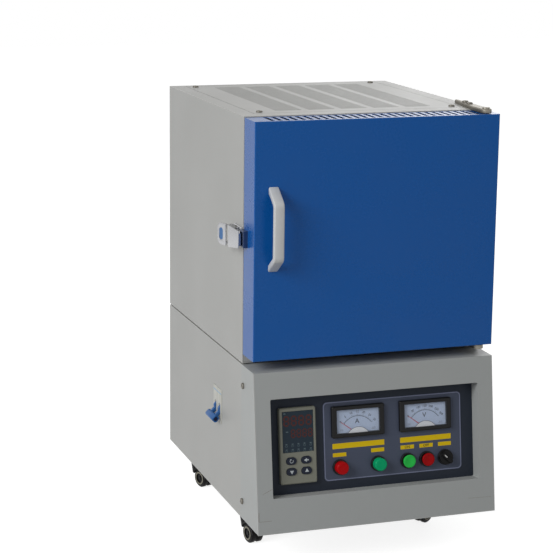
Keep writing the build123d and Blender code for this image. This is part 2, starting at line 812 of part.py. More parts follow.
def breaker_toggle():
    """The two levers of the breaker, hanging down in the off position, and the hollow bar that ties them."""
    angle = radians(toggle_rest)
    toggle = None
    for y in lever_ys:
        drum = rod(toggle_x, y - lever_width / 2, toggle_z, drum_radius, lever_width, "Y")
        stem = Pos(-toggle_reach / 2, 0, 0) * Box(toggle_reach, lever_width, 4)
        stem = Pos(toggle_x, y, toggle_z) * Rot(0, -toggle_rest, 0) * stem
        toggle = drum + stem if toggle is None else toggle + drum + stem
    bar = fillet(Box(tie_width, tie_length, tie_thickness).edges().filter_by(Axis.Y), tie_round)
    for side in (-1, 1):
        hollow = Box(tie_width - 2 * tie_wall, 2 * tie_bore, tie_thickness - 2 * tie_wall)
        bar -= Pos(0, side * tie_length / 2, 0) * hollow
    bar_x = toggle_x - toggle_reach * cos(angle)
    bar_z = toggle_z - toggle_reach * sin(angle)
    return toggle + Pos(bar_x, breaker_y, bar_z) * Rot(0, -toggle_rest, 0) * bar


# --------------------------------------------------------------------------- inside and back of cabinet


def fan_frame():
    """Axial fan frame behind the rear plate: square body, round duct, four struts and motor boss."""
    low = fan_front
    frame = block(fan_x - fan_size / 2, fan_x + fan_size / 2, low, low + fan_depth,
                  fan_z - fan_size / 2, fan_z + fan_size / 2)
    frame = fillet(frame.edges().filter_by(Axis.Y), 5)
    frame -= rod(fan_x, low - 1, fan_z, fan_bore, fan_depth + 2, "Y")
    frame += rod(fan_x, low, fan_z, fan_hub, 5, "Y")
    for turn in range(4):
        strut = Pos(fan_hub / 2 + fan_bore / 2 + 0.5, 0, 0) * Box(fan_bore - fan_hub + 4, 3, 3)
        frame += Pos(fan_x, low + 1.5, fan_z) * Rot(0, 45 + 90 * turn, 0) * strut
    frame -= rod(fan_x, low - 1, fan_z, fan_shaft + pin_clearance, 8, "Y")
    for dx, dz in fan_bolts:
        frame -= rod(fan_x + dx, low - 1, fan_z + dz, screw_shank + screw_gap, fan_depth + 2, "Y")
    return frame


def fan_rotor():
    """Fan rotor: hub, shaft and seven twisted blades."""
    low = fan_front + 5 + fit_gap
    rotor = rod(fan_x, low, fan_z, fan_hub - 0.5, fan_depth - 5 - 2, "Y")
    rotor += rod(fan_x, fan_front, fan_z, fan_shaft, 8, "Y")
    blade_tip = fan_bore - 1.2
    for turn in range(7):
        blade = Box(blade_tip - fan_hub + 2, 17, 1.4)
        blade = Pos((fan_hub + blade_tip) / 2 - 1, 0, 0) * Rot(38, 0, 0) * blade
        rotor += Pos(fan_x, low + 9, fan_z) * Rot(0, 360 / 7 * turn, 0) * blade
    return rotor & rod(fan_x, fan_front, fan_z, blade_tip, fan_depth, "Y")


def fan_guard():
    """Finger guard on the rear plate: four rings, a cross and four ears under the fan's screws."""
    wire = guard_wire
    guard = None
    for radius in guard_rings:
        ring = rod(fan_x, body_depth + guard_ear, fan_z, radius + wire / 2, wire, "Y")
        ring -= rod(fan_x, body_depth + guard_ear - wire, fan_z, radius - wire / 2, 3 * wire, "Y")
        guard = ring if guard is None else guard + ring
    for turn in range(4):
        around = Pos(fan_x, body_depth, fan_z) * Rot(0, 45 + 90 * turn, 0)
        spoke = block(guard_spoke_start, guard_spoke_end, guard_ear, guard_ear + wire, -wire / 2, wire / 2)
        link = block(guard_link_start, guard_link_end, 0, guard_ear + wire / 2, -wire, wire)
        guard += around * (spoke + link)
    for dx, dz in fan_bolts:
        guard += rod(fan_x + dx, body_depth, fan_z + dz, guard_ear_radius, guard_ear, "Y")
        guard -= rod(fan_x + dx, body_depth - 1, fan_z + dz, screw_shank + screw_gap, 6, "Y")
    return guard


def cable_gland():
    """Mains gland in the rear plate: hexagon, dome nut and threaded neck, with its bore."""
    gland = rod(gland_x, body_depth - gland_neck, gland_z, gland_bore + gland_wall, gland_neck + 2, "Y")
    flat = Pos(gland_x, body_depth, gland_z) * Rot(-90, 0, 0)
    gland += flat * extrude(RegularPolygon(gland_hex_radius, 6), gland_hex)
    dome = rod(gland_x, body_depth + gland_hex, gland_z, gland_dome_radius, gland_grip, "Y")
    dome = fillet(dome.faces().sort_by(Axis.Y)[-1].edges(), 3)
    gland += dome
    gland -= rod(gland_x, body_depth - 2 * gland_neck, gland_z, gland_bore, 4 * gland_neck, "Y")
    return gland


def power_controller():
    """Thyristor block on its finned heat sink, standing on the cabinet's floor."""
    left, front = sink_place
    right = left + sink_width
    back = front + sink_length
    base = block(left, right, front, back, sheet, sheet + sink_base)
    pitch = (sink_width - sink_fin) / (sink_fins - 1)
    for fin in range(sink_fins):
        x = left + fin * pitch
        base += block(x, x + sink_fin, front, back, sheet + sink_base, sheet + sink_height)
    base += block(
        left + module_inset, right - module_inset, front + module_inset, back - module_inset,
        sheet + sink_base, sheet + module_top)
    return base


def cabinet_screws():
    """The screws of the console's cheeks, the rear plate, the fan and the casters."""
    screws = [side_screw(side, console_screw_y, z) for side, z in console_screws]
    screws += [rear_screw(x, z) for x, z in back_screws]
    for dx, dz in fan_bolts:
        screws.append(Pos(fan_x + dx, body_depth + guard_ear, fan_z + dz) * Rot(-90, 0, 0) * pan_screw(24))
    for side in (-1, 1):
        for y in caster_ys:
            for dx, dy in caster_bolts:
                place = Pos(side * caster_x + dx, y + dy, -caster_plate) * Rot(180, 0, 0)
                screws.append(place * pan_screw(7))
    return grouped(screws)


# ------------------------------------------------------------------------------------------ casters


def caster_plates():
    """Four top plates, each with the boss that the kingpin turns in."""
    plates = []
    for x, y in caster_corners.values():
        plate = Pos(0, 0, -caster_plate / 2) * Box(2 * caster_plate_half, 2 * caster_plate_half, caster_plate)
        plate = fillet(plate.edges().filter_by(Axis.Z), 4)
        plate += rod(0, 0, 0, 9, -caster_boss)
        plate -= rod(0, 0, -1.5, kingpin_radius + pin_clearance, -20)
        for dx, dy in caster_bolts:
            plate -= rod(dx, dy, 1, screw_shank + screw_gap, -10)
        plates.append(Pos(x, y, 0) * plate)
    return grouped(plates)


def across_axle(radius, breadth):
    """A disc on the axle of a caster that stands unturned."""
    return Pos(0, wheel_trail, -axle_drop) * Rot(0, 90, 0) * Cylinder(radius, breadth)


def caster_swivel(corner):
    """Swivel body of a caster: kingpin, bell-shaped neck, hood over the wheels and the web between them."""
    x, y = caster_corners[corner]
    hood_radius = wheel_radius + hood_clearance + hood_wall
    whole = 2 * (wheel_width + hood_clearance) + caster_web
    room = 6 * wheel_radius
    above = Pos(0, 0, room / 2) * Box(room, room, room)
    above = Pos(0, wheel_trail, -axle_drop + hood_rim) * Rot(-8, 0, 0) * above
    hood = across_axle(hood_radius, whole) & above
    neck_top = -caster_boss - fit_gap
    neck_height = axle_drop - caster_boss - fit_gap - hood_rim
    neck = Pos(0, 0, neck_top - neck_height / 2) * Cone(caster_neck_foot, caster_neck_top, neck_height)
    wells = across_axle(wheel_radius + hood_clearance, room) - across_axle(room, caster_web)
    web = across_axle(axle_radius + 3, caster_web)
    web += across_axle(hood_radius - 0.5, caster_web) & above
    body = (hood + neck) - wells + web
    body += rod(0, 0, -2, kingpin_radius, -12)
    body -= across_axle(axle_radius + pin_clearance, room)
    return Pos(x, y, 0) * Rot(0, 0, caster_turn[corner]) * body


def caster_wheels(corner):
    """The two wheels of a caster, pressed on their axle, each with a raised ring on its outer face."""
    x, y = caster_corners[corner]
    inner = caster_web / 2 + fit_gap
    outer = inner + wheel_width
    profile = [
        (0, inner), (wheel_radius - 1, inner), (wheel_radius, inner + 1), (wheel_radius, outer - 2.2),
        (wheel_radius - 1.6, outer - 0.6), (wheel_face_radius + 0.6, outer - 0.6), (wheel_face_radius, outer),
        (wheel_dish_radius, outer), (wheel_dish_radius - 0.6, outer - 1.4), (axle_radius + 0.8, outer - 1.4),
        (axle_radius + 0.4, outer - 0.4), (0, outer - 0.4),
    ]
    half_wheel = revolve(Plane.XZ * make_face(Polyline(*profile, close=True)), Axis.Z)
    axle = Cylinder(axle_radius, 2 * inner + 2)
    pair = axle + half_wheel + Rot(180, 0, 0) * half_wheel
    swung = Pos(x, y, 0) * Rot(0, 0, caster_turn[corner]) * Pos(0, wheel_trail, -axle_drop)
    return swung * Rot(0, 90, 0) * pair


# ------------------------------------------------------------------------------------- furnace body


def furnace_shell():
    """Outer shell of the body: a folded tube with the cover's opening and its sunk rim."""
    inner = half - sheet
    shell = block(-half, half, 0, body_depth, body_floor, body_top)
    shell -= block(-inner, inner, -1, body_depth + 1, body_floor + sheet, body_top - sheet)
    left = half - cover_edge + cover_gap
    low_y = cover_front - cover_gap
    high_y = body_depth - cover_rim_back + cover_gap
    shell += block(
        -left - 1, left + 1, low_y - 1, high_y + 1, body_top - 2 * sheet, body_top - sheet)
    shell -= block(-left, left, low_y, high_y, body_top - sheet, body_top + 1)
    shell -= block(
        -left + cover_lip, left - cover_lip, low_y + cover_lip, high_y - cover_lip, body_top - 9, body_top)
    flange_y = body_depth - 2 * sheet
    for side in (-1, 1):
        strip = sorted((side * inner, side * (inner - flange)))
        shell += block(*strip, flange_y, flange_y + sheet, body_floor + sheet, body_top - 2 * sheet)
    for x, z in body_back_screws:
        shell -= rod(x, flange_y - 1, z, screw_shank + screw_gap, sheet + 2, "Y")
    for side_x, y in spacer_places:
        shell += rod(side_x, y, body_floor, spacer_radius, -seam)
    for x, y in upper_arm_screws:
        shell -= rod(x, y, body_top - 10, screw_shank + screw_gap, 12)
    for y, z in latch_screws:
        shell -= rod(-half + 10, y, z, screw_shank + screw_gap, -12, "X")
    for x, y in cover_screws:
        shell -= rod(x, y, body_top - 10, screw_shank + screw_gap, 12)
    return shell


def top_cover():
    """Ventilated cover let into the body's top: five banks of narrow slots across it."""
    left = half - cover_edge
    back = body_depth - cover_rim_back
    cover = block(-left, left, cover_front, back, body_top - sheet, body_top)
    slots = []
    count = int((back - bank_margin - bank_start) // slot_pitch)
    for bank in range(bank_count):
        x = (bank - (bank_count - 1) / 2) * bank_pitch
        for row in range(count):
            y = bank_start + row * slot_pitch
            slots.append(block(
                x - bank_width / 2, x + bank_width / 2, y, y + slot_width,
                body_top - 2 * sheet, body_top + 1))
    cover -= slots
    for x, y in cover_screws:
        cover -= rod(x, y, body_top - 10, screw_shank + screw_gap, 12)
    return cover


def furnace_front():
    """Front plate of the body round the mouth, folded back at its edges."""
    edge = half - sheet - fit_gap
    low = body_floor + sheet + fit_gap
    high = body_top - 2 * sheet - fit_gap
    plate = block(-edge, edge, 0, front_fold, low, high)
    plate -= block(-edge + sheet, edge - sheet, sheet, 2 * front_fold, low + sheet, high - sheet)
    plate -= block(
        -mouth_half, mouth_half, -1, sheet + 1, chamber_mid - mouth_half, chamber_mid + mouth_half)
    for x in lower_arm_screw_xs:
        plate -= rod(x, -1, lower_arm_screw_z, screw_shank + screw_gap, sheet + 2, "Y")
    return plate


def furnace_back():
    """Rear plate of the body, with three banks of slots."""
    edge = half - sheet - fit_gap
    low = body_floor + sheet + fit_gap
    high = body_top - 2 * sheet - fit_gap
    plate = block(-edge, edge, body_depth - sheet, body_depth, low, high)
    for bank in (-1, 0, 1):
        x = bank * (rear_slot_length + 28)
        for row in range(rear_bank_count):
            z = body_floor + rear_bank_rise + row * rear_bank_pitch
            plate -= block(
                x - rear_slot_length / 2, x + rear_slot_length / 2, body_depth - 5, body_depth + 5,
                z, z + 1.5 * rear_slot_height)
    for x, z in body_back_screws:
        plate -= rod(x, body_depth - 5, z, screw_shank + screw_gap, 10, "Y")
    return plate


def inner_casing():
    """Steel casing round the fibre boards, open to the front, on two folded feet."""
    side = board_half + casing_sheet
    low = casing_floor
    high = chamber_base + chamber_height + board + casing_sheet
    casing = block(-side, side, sheet, casing_back, low, high)
    casing -= block(
        -board_half, board_half, 0, casing_back - casing_sheet, low + casing_sheet, high - casing_sheet)
    for x in (-side + casing_foot_inset, side - casing_foot_inset - casing_foot_width):
        foot = block(
            x, x + casing_foot_width, casing_foot_front, casing_back - casing_foot_inset,
            body_floor + sheet, low)
        casing += foot
        casing -= block(
            x + casing_sheet, x + casing_foot_width - casing_sheet, 0, body_depth,
            body_floor + sheet + casing_sheet, low - casing_sheet)
    through = 4 * casing_sheet
    casing -= rod(0, casing_back - through, thermocouple_z, probe_radius + 2 * fit_gap, 2 * through, "Y")
    for side_x, z in lead_places:
        casing -= rod(side_x, casing_back - through, z, coil_radius + 2, 2 * through, "Y")
    return casing


def chamber_boards():
    """Fibre boards: floor and roof right across, and two grooved sides between them."""
    back = chamber_depth
    top = chamber_base + chamber_height
    boards = [
        block(-board_half, board_half, sheet, back, chamber_base - board, chamber_base),
        block(-board_half, board_half, sheet, back, top, top + board),
    ]
    for side in (-1, 1):
        xs = sorted((side * chamber_half_width, side * board_half))
        wall = block(*xs, sheet, back, chamber_base + board_joint, top - board_joint)
        groove_xs = sorted((side * (chamber_half_width - 1), side * (chamber_half_width + groove_depth)))
        for z in groove_zs:
            z0, z1 = z - groove_width / 2, z + groove_width / 2
            ends = back + 1 if z in (groove_zs[0], groove_zs[-1]) else groove_back
            wall -= block(*groove_xs, groove_front, ends, z0, z1)
        for low, y0, y1 in bend_pockets():
            z0 = groove_zs[low] - groove_width / 2
            z1 = groove_zs[low + 1] + groove_width / 2
            wall -= block(*groove_xs, y0, y1, z0, z1)
        boards.append(wall)
    return grouped(boards)


def bend_pockets():
    """Where the heating element turns from one groove to the next: groove index and Y range."""
    turn = groove_pitch / 2 + coil_radius + 2
    pockets = []
    for index in range(groove_count - 1):
        if index % 2 == 0:
            pockets.append((index, groove_front, groove_front + turn))
        else:
            pockets.append((index, groove_back - turn, groove_back))
    return pockets


def chamber_back_board():
    """Rear fibre board, with holes for the thermocouple and the heating leads."""
    plate = block(
        -board_half, board_half, chamber_depth, chamber_depth + board,
        chamber_base - board, chamber_base + chamber_height + board)
    plate -= rod(0, chamber_depth - 1, thermocouple_z, probe_radius + fit_gap, board + 2, "Y")
    for x, z in lead_places:
        plate -= rod(x, chamber_depth - 1, z, coil_radius + fit_gap, board + 2, "Y")
    return plate


def heating_elements():
    """Two serpentine heating elements in the side grooves, with leads out through the back."""
    elements = []
    radius = groove_pitch / 2
    front = groove_front + coil_radius + 1 + radius
    back = groove_back - coil_radius - 1 - radius
    for side in (-1, 1):
        x = side * coil_x
        lead_end = casing_back + 10
        element = None
        for index, z in enumerate(groove_zs):
            start = front
            end = back
            if index in (0, groove_count - 1):
                end = lead_end
            run = rod(x, start, z, coil_radius, end - start, "Y")
            element = run if element is None else element + run
        for index in range(groove_count - 1):
            z = (groove_zs[index] + groove_zs[index + 1]) / 2
            at_front = index % 2 == 0
            keep = block(-50, 50, -50, 0, -50, 50) if at_front else block(-50, 50, 0, 50, -50, 50)
            bend = Rot(0, 90, 0) * Torus(radius, coil_radius) & keep
            element += Pos(x, front if at_front else back, z) * bend
        elements.append(element)
    return grouped(elements)


def hearth_plate():
    """Ceramic hearth plate on the chamber's floor, with rounded corners."""
    side = chamber_half_width - hearth_side_gap
    plate = block(
        -side, side, plug_length + hearth_front_gap, chamber_depth - hearth_back_gap,
        chamber_base, chamber_base + hearth_thickness)
    return fillet(plate.edges().filter_by(Axis.Z), hearth_corner)


def thermocouple():
    """Thermocouple: ceramic sheath through the back of the chamber, and its head on the casing."""
    sheath = rod(
        0, chamber_depth - probe_reach, thermocouple_z, probe_radius,
        casing_back + probe_overlap - chamber_depth + probe_reach, "Y")
    sheath = fillet(sheath.faces().sort_by(Axis.Y)[0].edges(), probe_tip)
    head = rod(0, casing_back, thermocouple_z, probe_head_radius, probe_head_length, "Y")
    return sheath + head


def body_screws():
    """The screws of the top cover, the rear plate, the hinge arms and the latch."""
    screws = [Pos(x, y, body_top) * pan_screw(6) for x, y in cover_screws]
    screws += [rear_screw(x, z) for x, z in body_back_screws]
    for x, y in upper_arm_screws:
        screws.append(Pos(x, y, body_top + hinge_arm_thickness) * pan_screw(10))
    for x in lower_arm_screw_xs:
        screws.append(Pos(x, -lower_flange, lower_arm_screw_z) * Rot(90, 0, 0) * pan_screw(8))
    for y, z in latch_screws:
        screws.append(Pos(-half - latch_sheet, y, z) * Rot(0, -90, 0) * pan_screw(5))
    return grouped(screws)


# ------------------------------------------------------------------------------------------- hinges


def hinge_arms():
    """Upper and lower hinge arms, each with its pin riveted in."""
    left = hinge_x - hinge_arm_width / 2
    right = hinge_x + hinge_arm_width / 2
    outline = make_face(Polyline(
        (left, hinge_y), (left, hinge_taper), (right - hinge_tip_width, hinge_arm_back),
        (right, hinge_arm_back - hinge_tip_width), (right, hinge_y), close=True,
    ))
    upper = Pos(0, 0, body_top) * extrude(outline, hinge_arm_thickness)
    upper += rod(hinge_x, hinge_y, body_top, hinge_arm_width / 2, hinge_arm_thickness)
    upper = fillet(upper.faces().sort_by(Axis.Z)[-1].edges(), hinge_arm_round)
    head_base = body_top + hinge_arm_thickness - 1
    upper += rod(hinge_x, hinge_y, head_base, hinge_pin_head, 1 + hinge_pin_head_height)
    upper += rod(hinge_x, hinge_y, body_top + 1, hinge_pin_radius, -hinge_pin_length - 2)
    for x, y in upper_arm_screws:
        upper -= rod(x, y, body_top - 1, screw_shank + screw_gap, 12)
    low = lower_arm_top - hinge_arm_thickness
    lower = block(
        hinge_x - hinge_arm_width / 2, hinge_x + hinge_arm_width / 2, hinge_y, 0, low, lower_arm_top)
    lower += rod(hinge_x, hinge_y, low, boss_radius, hinge_arm_thickness)
    lower += block(
        hinge_x - hinge_foot_reach, hinge_x + hinge_arm_width / 2, -lower_flange, 0,
        body_floor + hinge_foot_gap, lower_arm_top)
    lower += rod(hinge_x, hinge_y, lower_arm_top - 1, hinge_pin_radius, hinge_pin_length + 2)
    for x in lower_arm_screw_xs:
        lower -= rod(x, -20, lower_arm_screw_z, screw_shank + screw_gap, 30, "Y")
    return grouped([upper, lower])


# --------------------------------------------------------------------------------------------- door


def door_shell():
    """Folded door pan with its ventilation slots, and a pivot block welded in at each hinge."""
    pan = block(-half, half, -door_front, door_back, door_bottom, door_top)
    hinge_edge = pan.edges().filter_by(Axis.Z).sort_by(Axis.X)[-2:].sort_by(Axis.Y)[-1]
    pan = fillet(hinge_edge, door_corner)
    front_edges = pan.faces().sort_by(Axis.Y)[0].edges()
    pan = fillet(front_edges, 1.2)
    inner = half - door_sheet
    hollow = block(
        -inner, inner, -door_front + door_sheet, door_back + 1,
        door_bottom + door_sheet, door_top - door_sheet)
    corner = hollow.edges().filter_by(Axis.Z).sort_by(Axis.X)[-2:].sort_by(Axis.Y)[-1]
    hollow = fillet(corner, door_corner + 1 - door_sheet)
    pan -= hollow
    for low in (door_bottom + door_sheet / 2, door_top - door_sheet / 2 - pivot_block - 3):
        pan += block(
            hinge_x - pivot_block, hinge_x + pivot_block - 1, -door_front + door_sheet / 2,
            hinge_y + pivot_block, low, low + pivot_block + 3)
    pan -= rod(hinge_x, hinge_y, door_bottom - 1, hinge_pin_radius + pin_clearance, hinge_pin_length + 3)
    pan -= rod(hinge_x, hinge_y, door_top + 1, hinge_pin_radius + pin_clearance, -hinge_pin_length - 3)
    slots = []
    for index in range(door_slot_count):
        x = door_slot_first + index * door_slot_pitch
        slots.append(block(
            x, x + door_slot_width, -door_front + 5.5, door_back - 3,
            door_top - door_sheet - 1, door_top + 1))
    pan -= slots
    for z in handle_screws:
        pan -= rod(handle_x, -door_front - 1, z, screw_shank + screw_gap, door_sheet + 2, "Y")
    for z in (latch_z - 6, latch_z + 6):
        pan -= rod(-half - 1, -keeper_back - keeper_length / 2, z, 1.0, door_sheet + 2, "X")
    return pan


def door_liner():
    """Inner plate of the door, folded forwards at its edges, open for the plug."""
    edge = half - door_sheet - fit_gap
    right = edge - door_corner
    low = door_bottom + door_sheet + fit_gap
    high = door_top - door_sheet - fit_gap
    depth = 8.0
    liner = block(-edge, right, door_back - depth, door_back - 0.5, low, high)
    liner -= block(
        -edge + door_sheet, right - door_sheet, door_back - depth - 1, door_back - 0.5 - door_sheet,
        low + door_sheet, high - door_sheet)
    opening_x = plug_size[0] / 2 + plug_margin
    opening_z = plug_size[1] / 2 + plug_margin
    liner -= block(
        -opening_x, opening_x, door_back - 20, door_back + 1,
        chamber_mid - opening_z, chamber_mid + opening_z)
    for x, z in liner_screws:
        liner -= rod(x, door_back - 20, z, screw_shank + screw_gap, 22, "Y")
    return liner


def door_plug():
    """Fibre block of the door: a square slab behind the liner and the tapered plug for the mouth."""
    back = door_back - 0.5 - door_sheet
    slab = block(
        -plug_block_half, plug_block_half, back - plug_block_depth, back,
        chamber_mid - plug_block_half, chamber_mid + plug_block_half)
    root = Plane(origin=(0, back, chamber_mid), x_dir=(1, 0, 0), z_dir=(0, 1, 0))
    tip = Plane(origin=(0, door_back + plug_length, chamber_mid), x_dir=(1, 0, 0), z_dir=(0, 1, 0))
    wide, tall = plug_size
    plug = loft([root * RectangleRounded(wide, tall, 4),
                 tip * RectangleRounded(wide - 2 * plug_taper, tall - 2 * plug_taper, 4)])
    block_piece = slab + plug
    for x, z in liner_screws:
        block_piece -= rod(x, back - 12, z, screw_shank + screw_gap, 14, "Y")
    return block_piece


def door_handle():
    """Bow handle: a flat bar bent to a trapezium, with rounded bends and edges."""
    grip = handle_grip / 2
    foot = handle_length / 2
    out = handle_standoff
    thick = handle_thickness
    outer = [(0, foot), (-out, grip), (-out, -grip), (0, -foot)]
    lean = (foot - grip) / out
    wide = thick * (1 + lean * lean) ** 0.5
    shift = wide - thick * lean
    inner = [(0, -foot + wide), (-out + thick, -grip + shift), (-out + thick, grip - shift), (0, foot - wide)]
    face = make_face(Polyline(*outer, *inner, close=True))
    bar = extrude(Plane.YZ * face, handle_width / 2, both=True)
    bends = bar.edges().filter_by(Axis.X).sort_by(Axis.Y)
    bar = fillet(bends[0:2], thick + 3)
    bends = bar.edges().filter_by(Axis.X).filter_by(lambda edge: abs(edge.center().Y + out - thick) < 0.1)
    bar = fillet(bends, 4)
    bar = Pos(handle_x, -door_front, handle_z) * bar
    for z in handle_screws:
        bar -= rod(handle_x, -door_front + 1, z, screw_shank + screw_gap, -6, "Y")
    return bar


def door_keeper():
    """Keeper on the door's edge: a small welded box with the pocket that the claw drops into."""
    y1 = -keeper_back
    y0 = y1 - keeper_length
    keeper = block(
        -half - keeper_proud, -half, y0, y1, latch_z - keeper_width / 2, latch_z + keeper_width / 2)
    outer_edges = keeper.faces().sort_by(Axis.X)[0].edges()
    keeper = fillet(outer_edges, 0.8)
    keeper -= block(
        -half - keeper_proud - 1, -half - 1, y0 + 2, y1 - 2.5, latch_z - keeper_width / 2 + 2,
        latch_z + keeper_width / 2 - 2)
    return keeper


def door_screws():
    """The handle's two screws and the four that hold the fibre block to the liner."""
    screws = []
    for z in handle_screws:
        screws.append(Pos(handle_x, -door_front + door_sheet, z) * Rot(-90, 0, 0) * pan_screw(6))
    for x, z in liner_screws:
        screws.append(Pos(x, door_back - 0.5, z) * Rot(-90, 0, 0) * pan_screw(10))
    return grouped(screws)


# -------------------------------------------------------------------------------------------- latch


def latch_base():
    """Base of the draw latch on the body's side: plate, two ears and the lever's fixed pin."""
    x = -half
    plate = block(x - latch_sheet, x, 1.0, 34.0, latch_z - latch_width / 2 + 2, latch_z + latch_width / 2 - 2)
    plate = fillet(plate.edges().filter_by(Axis.X), 2)
    base = plate
    for side in (-1, 1):
        zs = sorted((latch_z + side * ear_half, latch_z + side * (ear_half - latch_sheet)))
        ear = block(pivot_a[0], x - latch_sheet / 2, pivot_a[1] - latch_eye, pivot_a[1] + 4.5, *zs)
        ear += rod(pivot_a[0], pivot_a[1], zs[0], latch_eye, latch_sheet)
        base += ear
    base += rod(pivot_a[0], pivot_a[1], latch_z - lever_half, latch_pin_radius, 2 * lever_half)
    for y, z in latch_screws:
        base -= rod(-half + 1, y, z, screw_shank + screw_gap, -12, "X")
    return base


def latch_lever():
    """Lever of the latch: two flanges on the fixed pin, a thumb tail, and the claw's pin."""
    flange_reach = latch_reach - 6
    lever = None
    for side in (-1, 1):
        zs = sorted((side * lever_half, side * (lever_half - latch_sheet)))
        arm = block(-tail_rise, 1.8, 0, flange_reach, *zs)
        arm += rod(0, 0, zs[0], latch_eye, latch_sheet)
        arm -= block(-tail_rise - 1, -latch_eye, -5, latch_arm + 4.4, *zs)
        lever = arm if lever is None else lever + arm
    web_start = latch_arm + 5.5
    tail_half = latch_width / 2
    tail = block(-tail_rise - latch_sheet, -tail_rise, web_start, latch_reach, -tail_half, tail_half)
    tail = fillet(tail.edges().filter_by(Axis.X).sort_by(Axis.Y)[-2:], 7)
    dimple = Pos(-tail_rise - latch_sheet, (web_start + latch_reach) / 2 + 1.5, 0) * Rot(0, 90, 0)
    tail -= dimple * extrude(SlotOverall(16, 8, rotation=0), 0.5, both=True)
    lever += tail
    lever -= rod(0, 0, -20, latch_pin_radius + pin_clearance, 40)
    lever += rod(0, latch_arm, -latch_width / 2, latch_pin_radius, latch_width)
    return Pos(pivot_a[0], pivot_a[1], latch_z) * Rot(0, 0, latch_rest) * lever


def latch_claw():
    """Claw of the latch: a channel on the lever's pin, sloping down to the lip that holds the keeper."""
    thick = latch_sheet
    outer = latch_width / 2
    front_y = -keeper_back - keeper_length / 2 - 4.5 - pivot_b[1]
    root_x = -4.6
    drop = latch_arm * sin(rest)
    tip_x = -half - keeper_proud - fit_gap - drop - pivot_b[0]
    lip_x = tip_x + drop - 1.3
    side_face = make_face(Polyline(
        (3.2, 0), (3.2, -4), (tip_x, -15.5), (tip_x, front_y), (tip_x - thick, front_y),
        (root_x - thick, -5.2), (root_x - thick + 1.4, -3.4), (-3.2, 0), close=True,
    ))
    claw = None
    for side in (-1, 1):
        low = min(side * outer, side * (outer - thick))
        cheek = Pos(0, 0, low) * extrude(side_face, thick)
        cheek += rod(0, 0, low, 3.2, thick)
        claw = cheek if claw is None else claw + cheek
    web = make_face(Polyline(
        (root_x - thick, -5.2), (root_x, -5.2), (tip_x, front_y + thick), (tip_x, front_y),
        (tip_x - thick, front_y), close=True,
    ))
    claw += Pos(0, 0, -outer) * extrude(web, 2 * outer)
    lip_half = keeper_width / 2 - 3.0
    claw += block(tip_x - thick / 2, lip_x, front_y, front_y + thick, -lip_half, lip_half)
    tip_half = claw_tip_width / 2
    taper = Plane.YZ * make_face(Polyline(
        (3.3, outer), (-6, outer), (front_y, tip_half), (front_y, -tip_half), (-6, -outer), (3.3, -outer),
        close=True,
    ))
    claw &= extrude(taper, latch_reach, both=True)
    claw -= rod(0, 0, -20, latch_pin_radius + pin_clearance, 40)
    return Pos(pivot_b[0], pivot_b[1], latch_z) * claw


# ------------------------------------------------------------------------------- the whole furnace

pieces = {
    "cabinet_shell": cabinet_shell(),
    "console_front": console_front(),
    "cabinet_back": cabinet_back(),
    "control_panel": control_panel(),
    "panel_overlay": panel_overlay(),
    "controller_case": controller_case(),
    "controller_window": controller_window(),
    "meter_cases": meter_cases(),
    "meter_dials": meter_dials(),
    "meter_glasses": meter_glasses(),
    "needle_current": meter_needle(0),
    "needle_voltage": meter_needle(1),
    "switch_collars": switch_collars(),
    "lamp_red": lamp(0),
    "lamp_green": lamp(1),
    "button_green": push_button(0),
    "button_red": push_button(1),
    "selector_knob": selector_knob(),
    "breaker_case": breaker_case(),
    "breaker_toggle": breaker_toggle(),
    "fan_frame": fan_frame(),
    "fan_rotor": fan_rotor(),
    "fan_guard": fan_guard(),
    "cable_gland": cable_gland(),
    "power_controller": power_controller(),
    "cabinet_screws": cabinet_screws(),
    "caster_plates": caster_plates(),
    "furnace_shell": furnace_shell(),
    "top_cover": top_cover(),
    "furnace_front": furnace_front(),
    "furnace_back": furnace_back(),
    "inner_casing": inner_casing(),
    "chamber_boards": chamber_boards(),
    "chamber_back_board": chamber_back_board(),
    "heating_elements": heating_elements(),
    "hearth_plate": hearth_plate(),
    "thermocouple": thermocouple(),
    "body_screws": body_screws(),
    "hinge_arms": hinge_arms(),
    "door_shell": door_shell(),
    "door_liner": door_liner(),
    "door_plug": door_plug(),
    "door_handle": door_handle(),
    "door_keeper": door_keeper(),
    "door_screws": door_screws(),
    "latch_base": latch_base(),
    "latch_lever": latch_lever(),
    "latch_claw": latch_claw(),
}
for index, name in enumerate(("key_mode", "key_shift", "key_down", "key_up")):
    pieces[name] = controller_key(index)
for corner in caster_corners:
    pieces["caster_swivel_" + corner] = caster_swivel(corner)
    pieces["caster_wheels_" + corner] = caster_wheels(corner)

boxes = [piece.bounding_box() for piece in pieces.values()]
origin = Pos(
    -(min(box.min.X for box in boxes) + max(box.max.X for box in boxes)) / 2,
    -(min(box.min.Y for box in boxes) + max(box.max.Y for box in boxes)) / 2,
    caster_height,
)
for name, piece in pieces.items():
    export_step(origin * piece, "parts/" + name + ".step")
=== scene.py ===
import json
from math import atan2, cos, pi, radians, sin

import bpy
from mathutils import Matrix, Vector


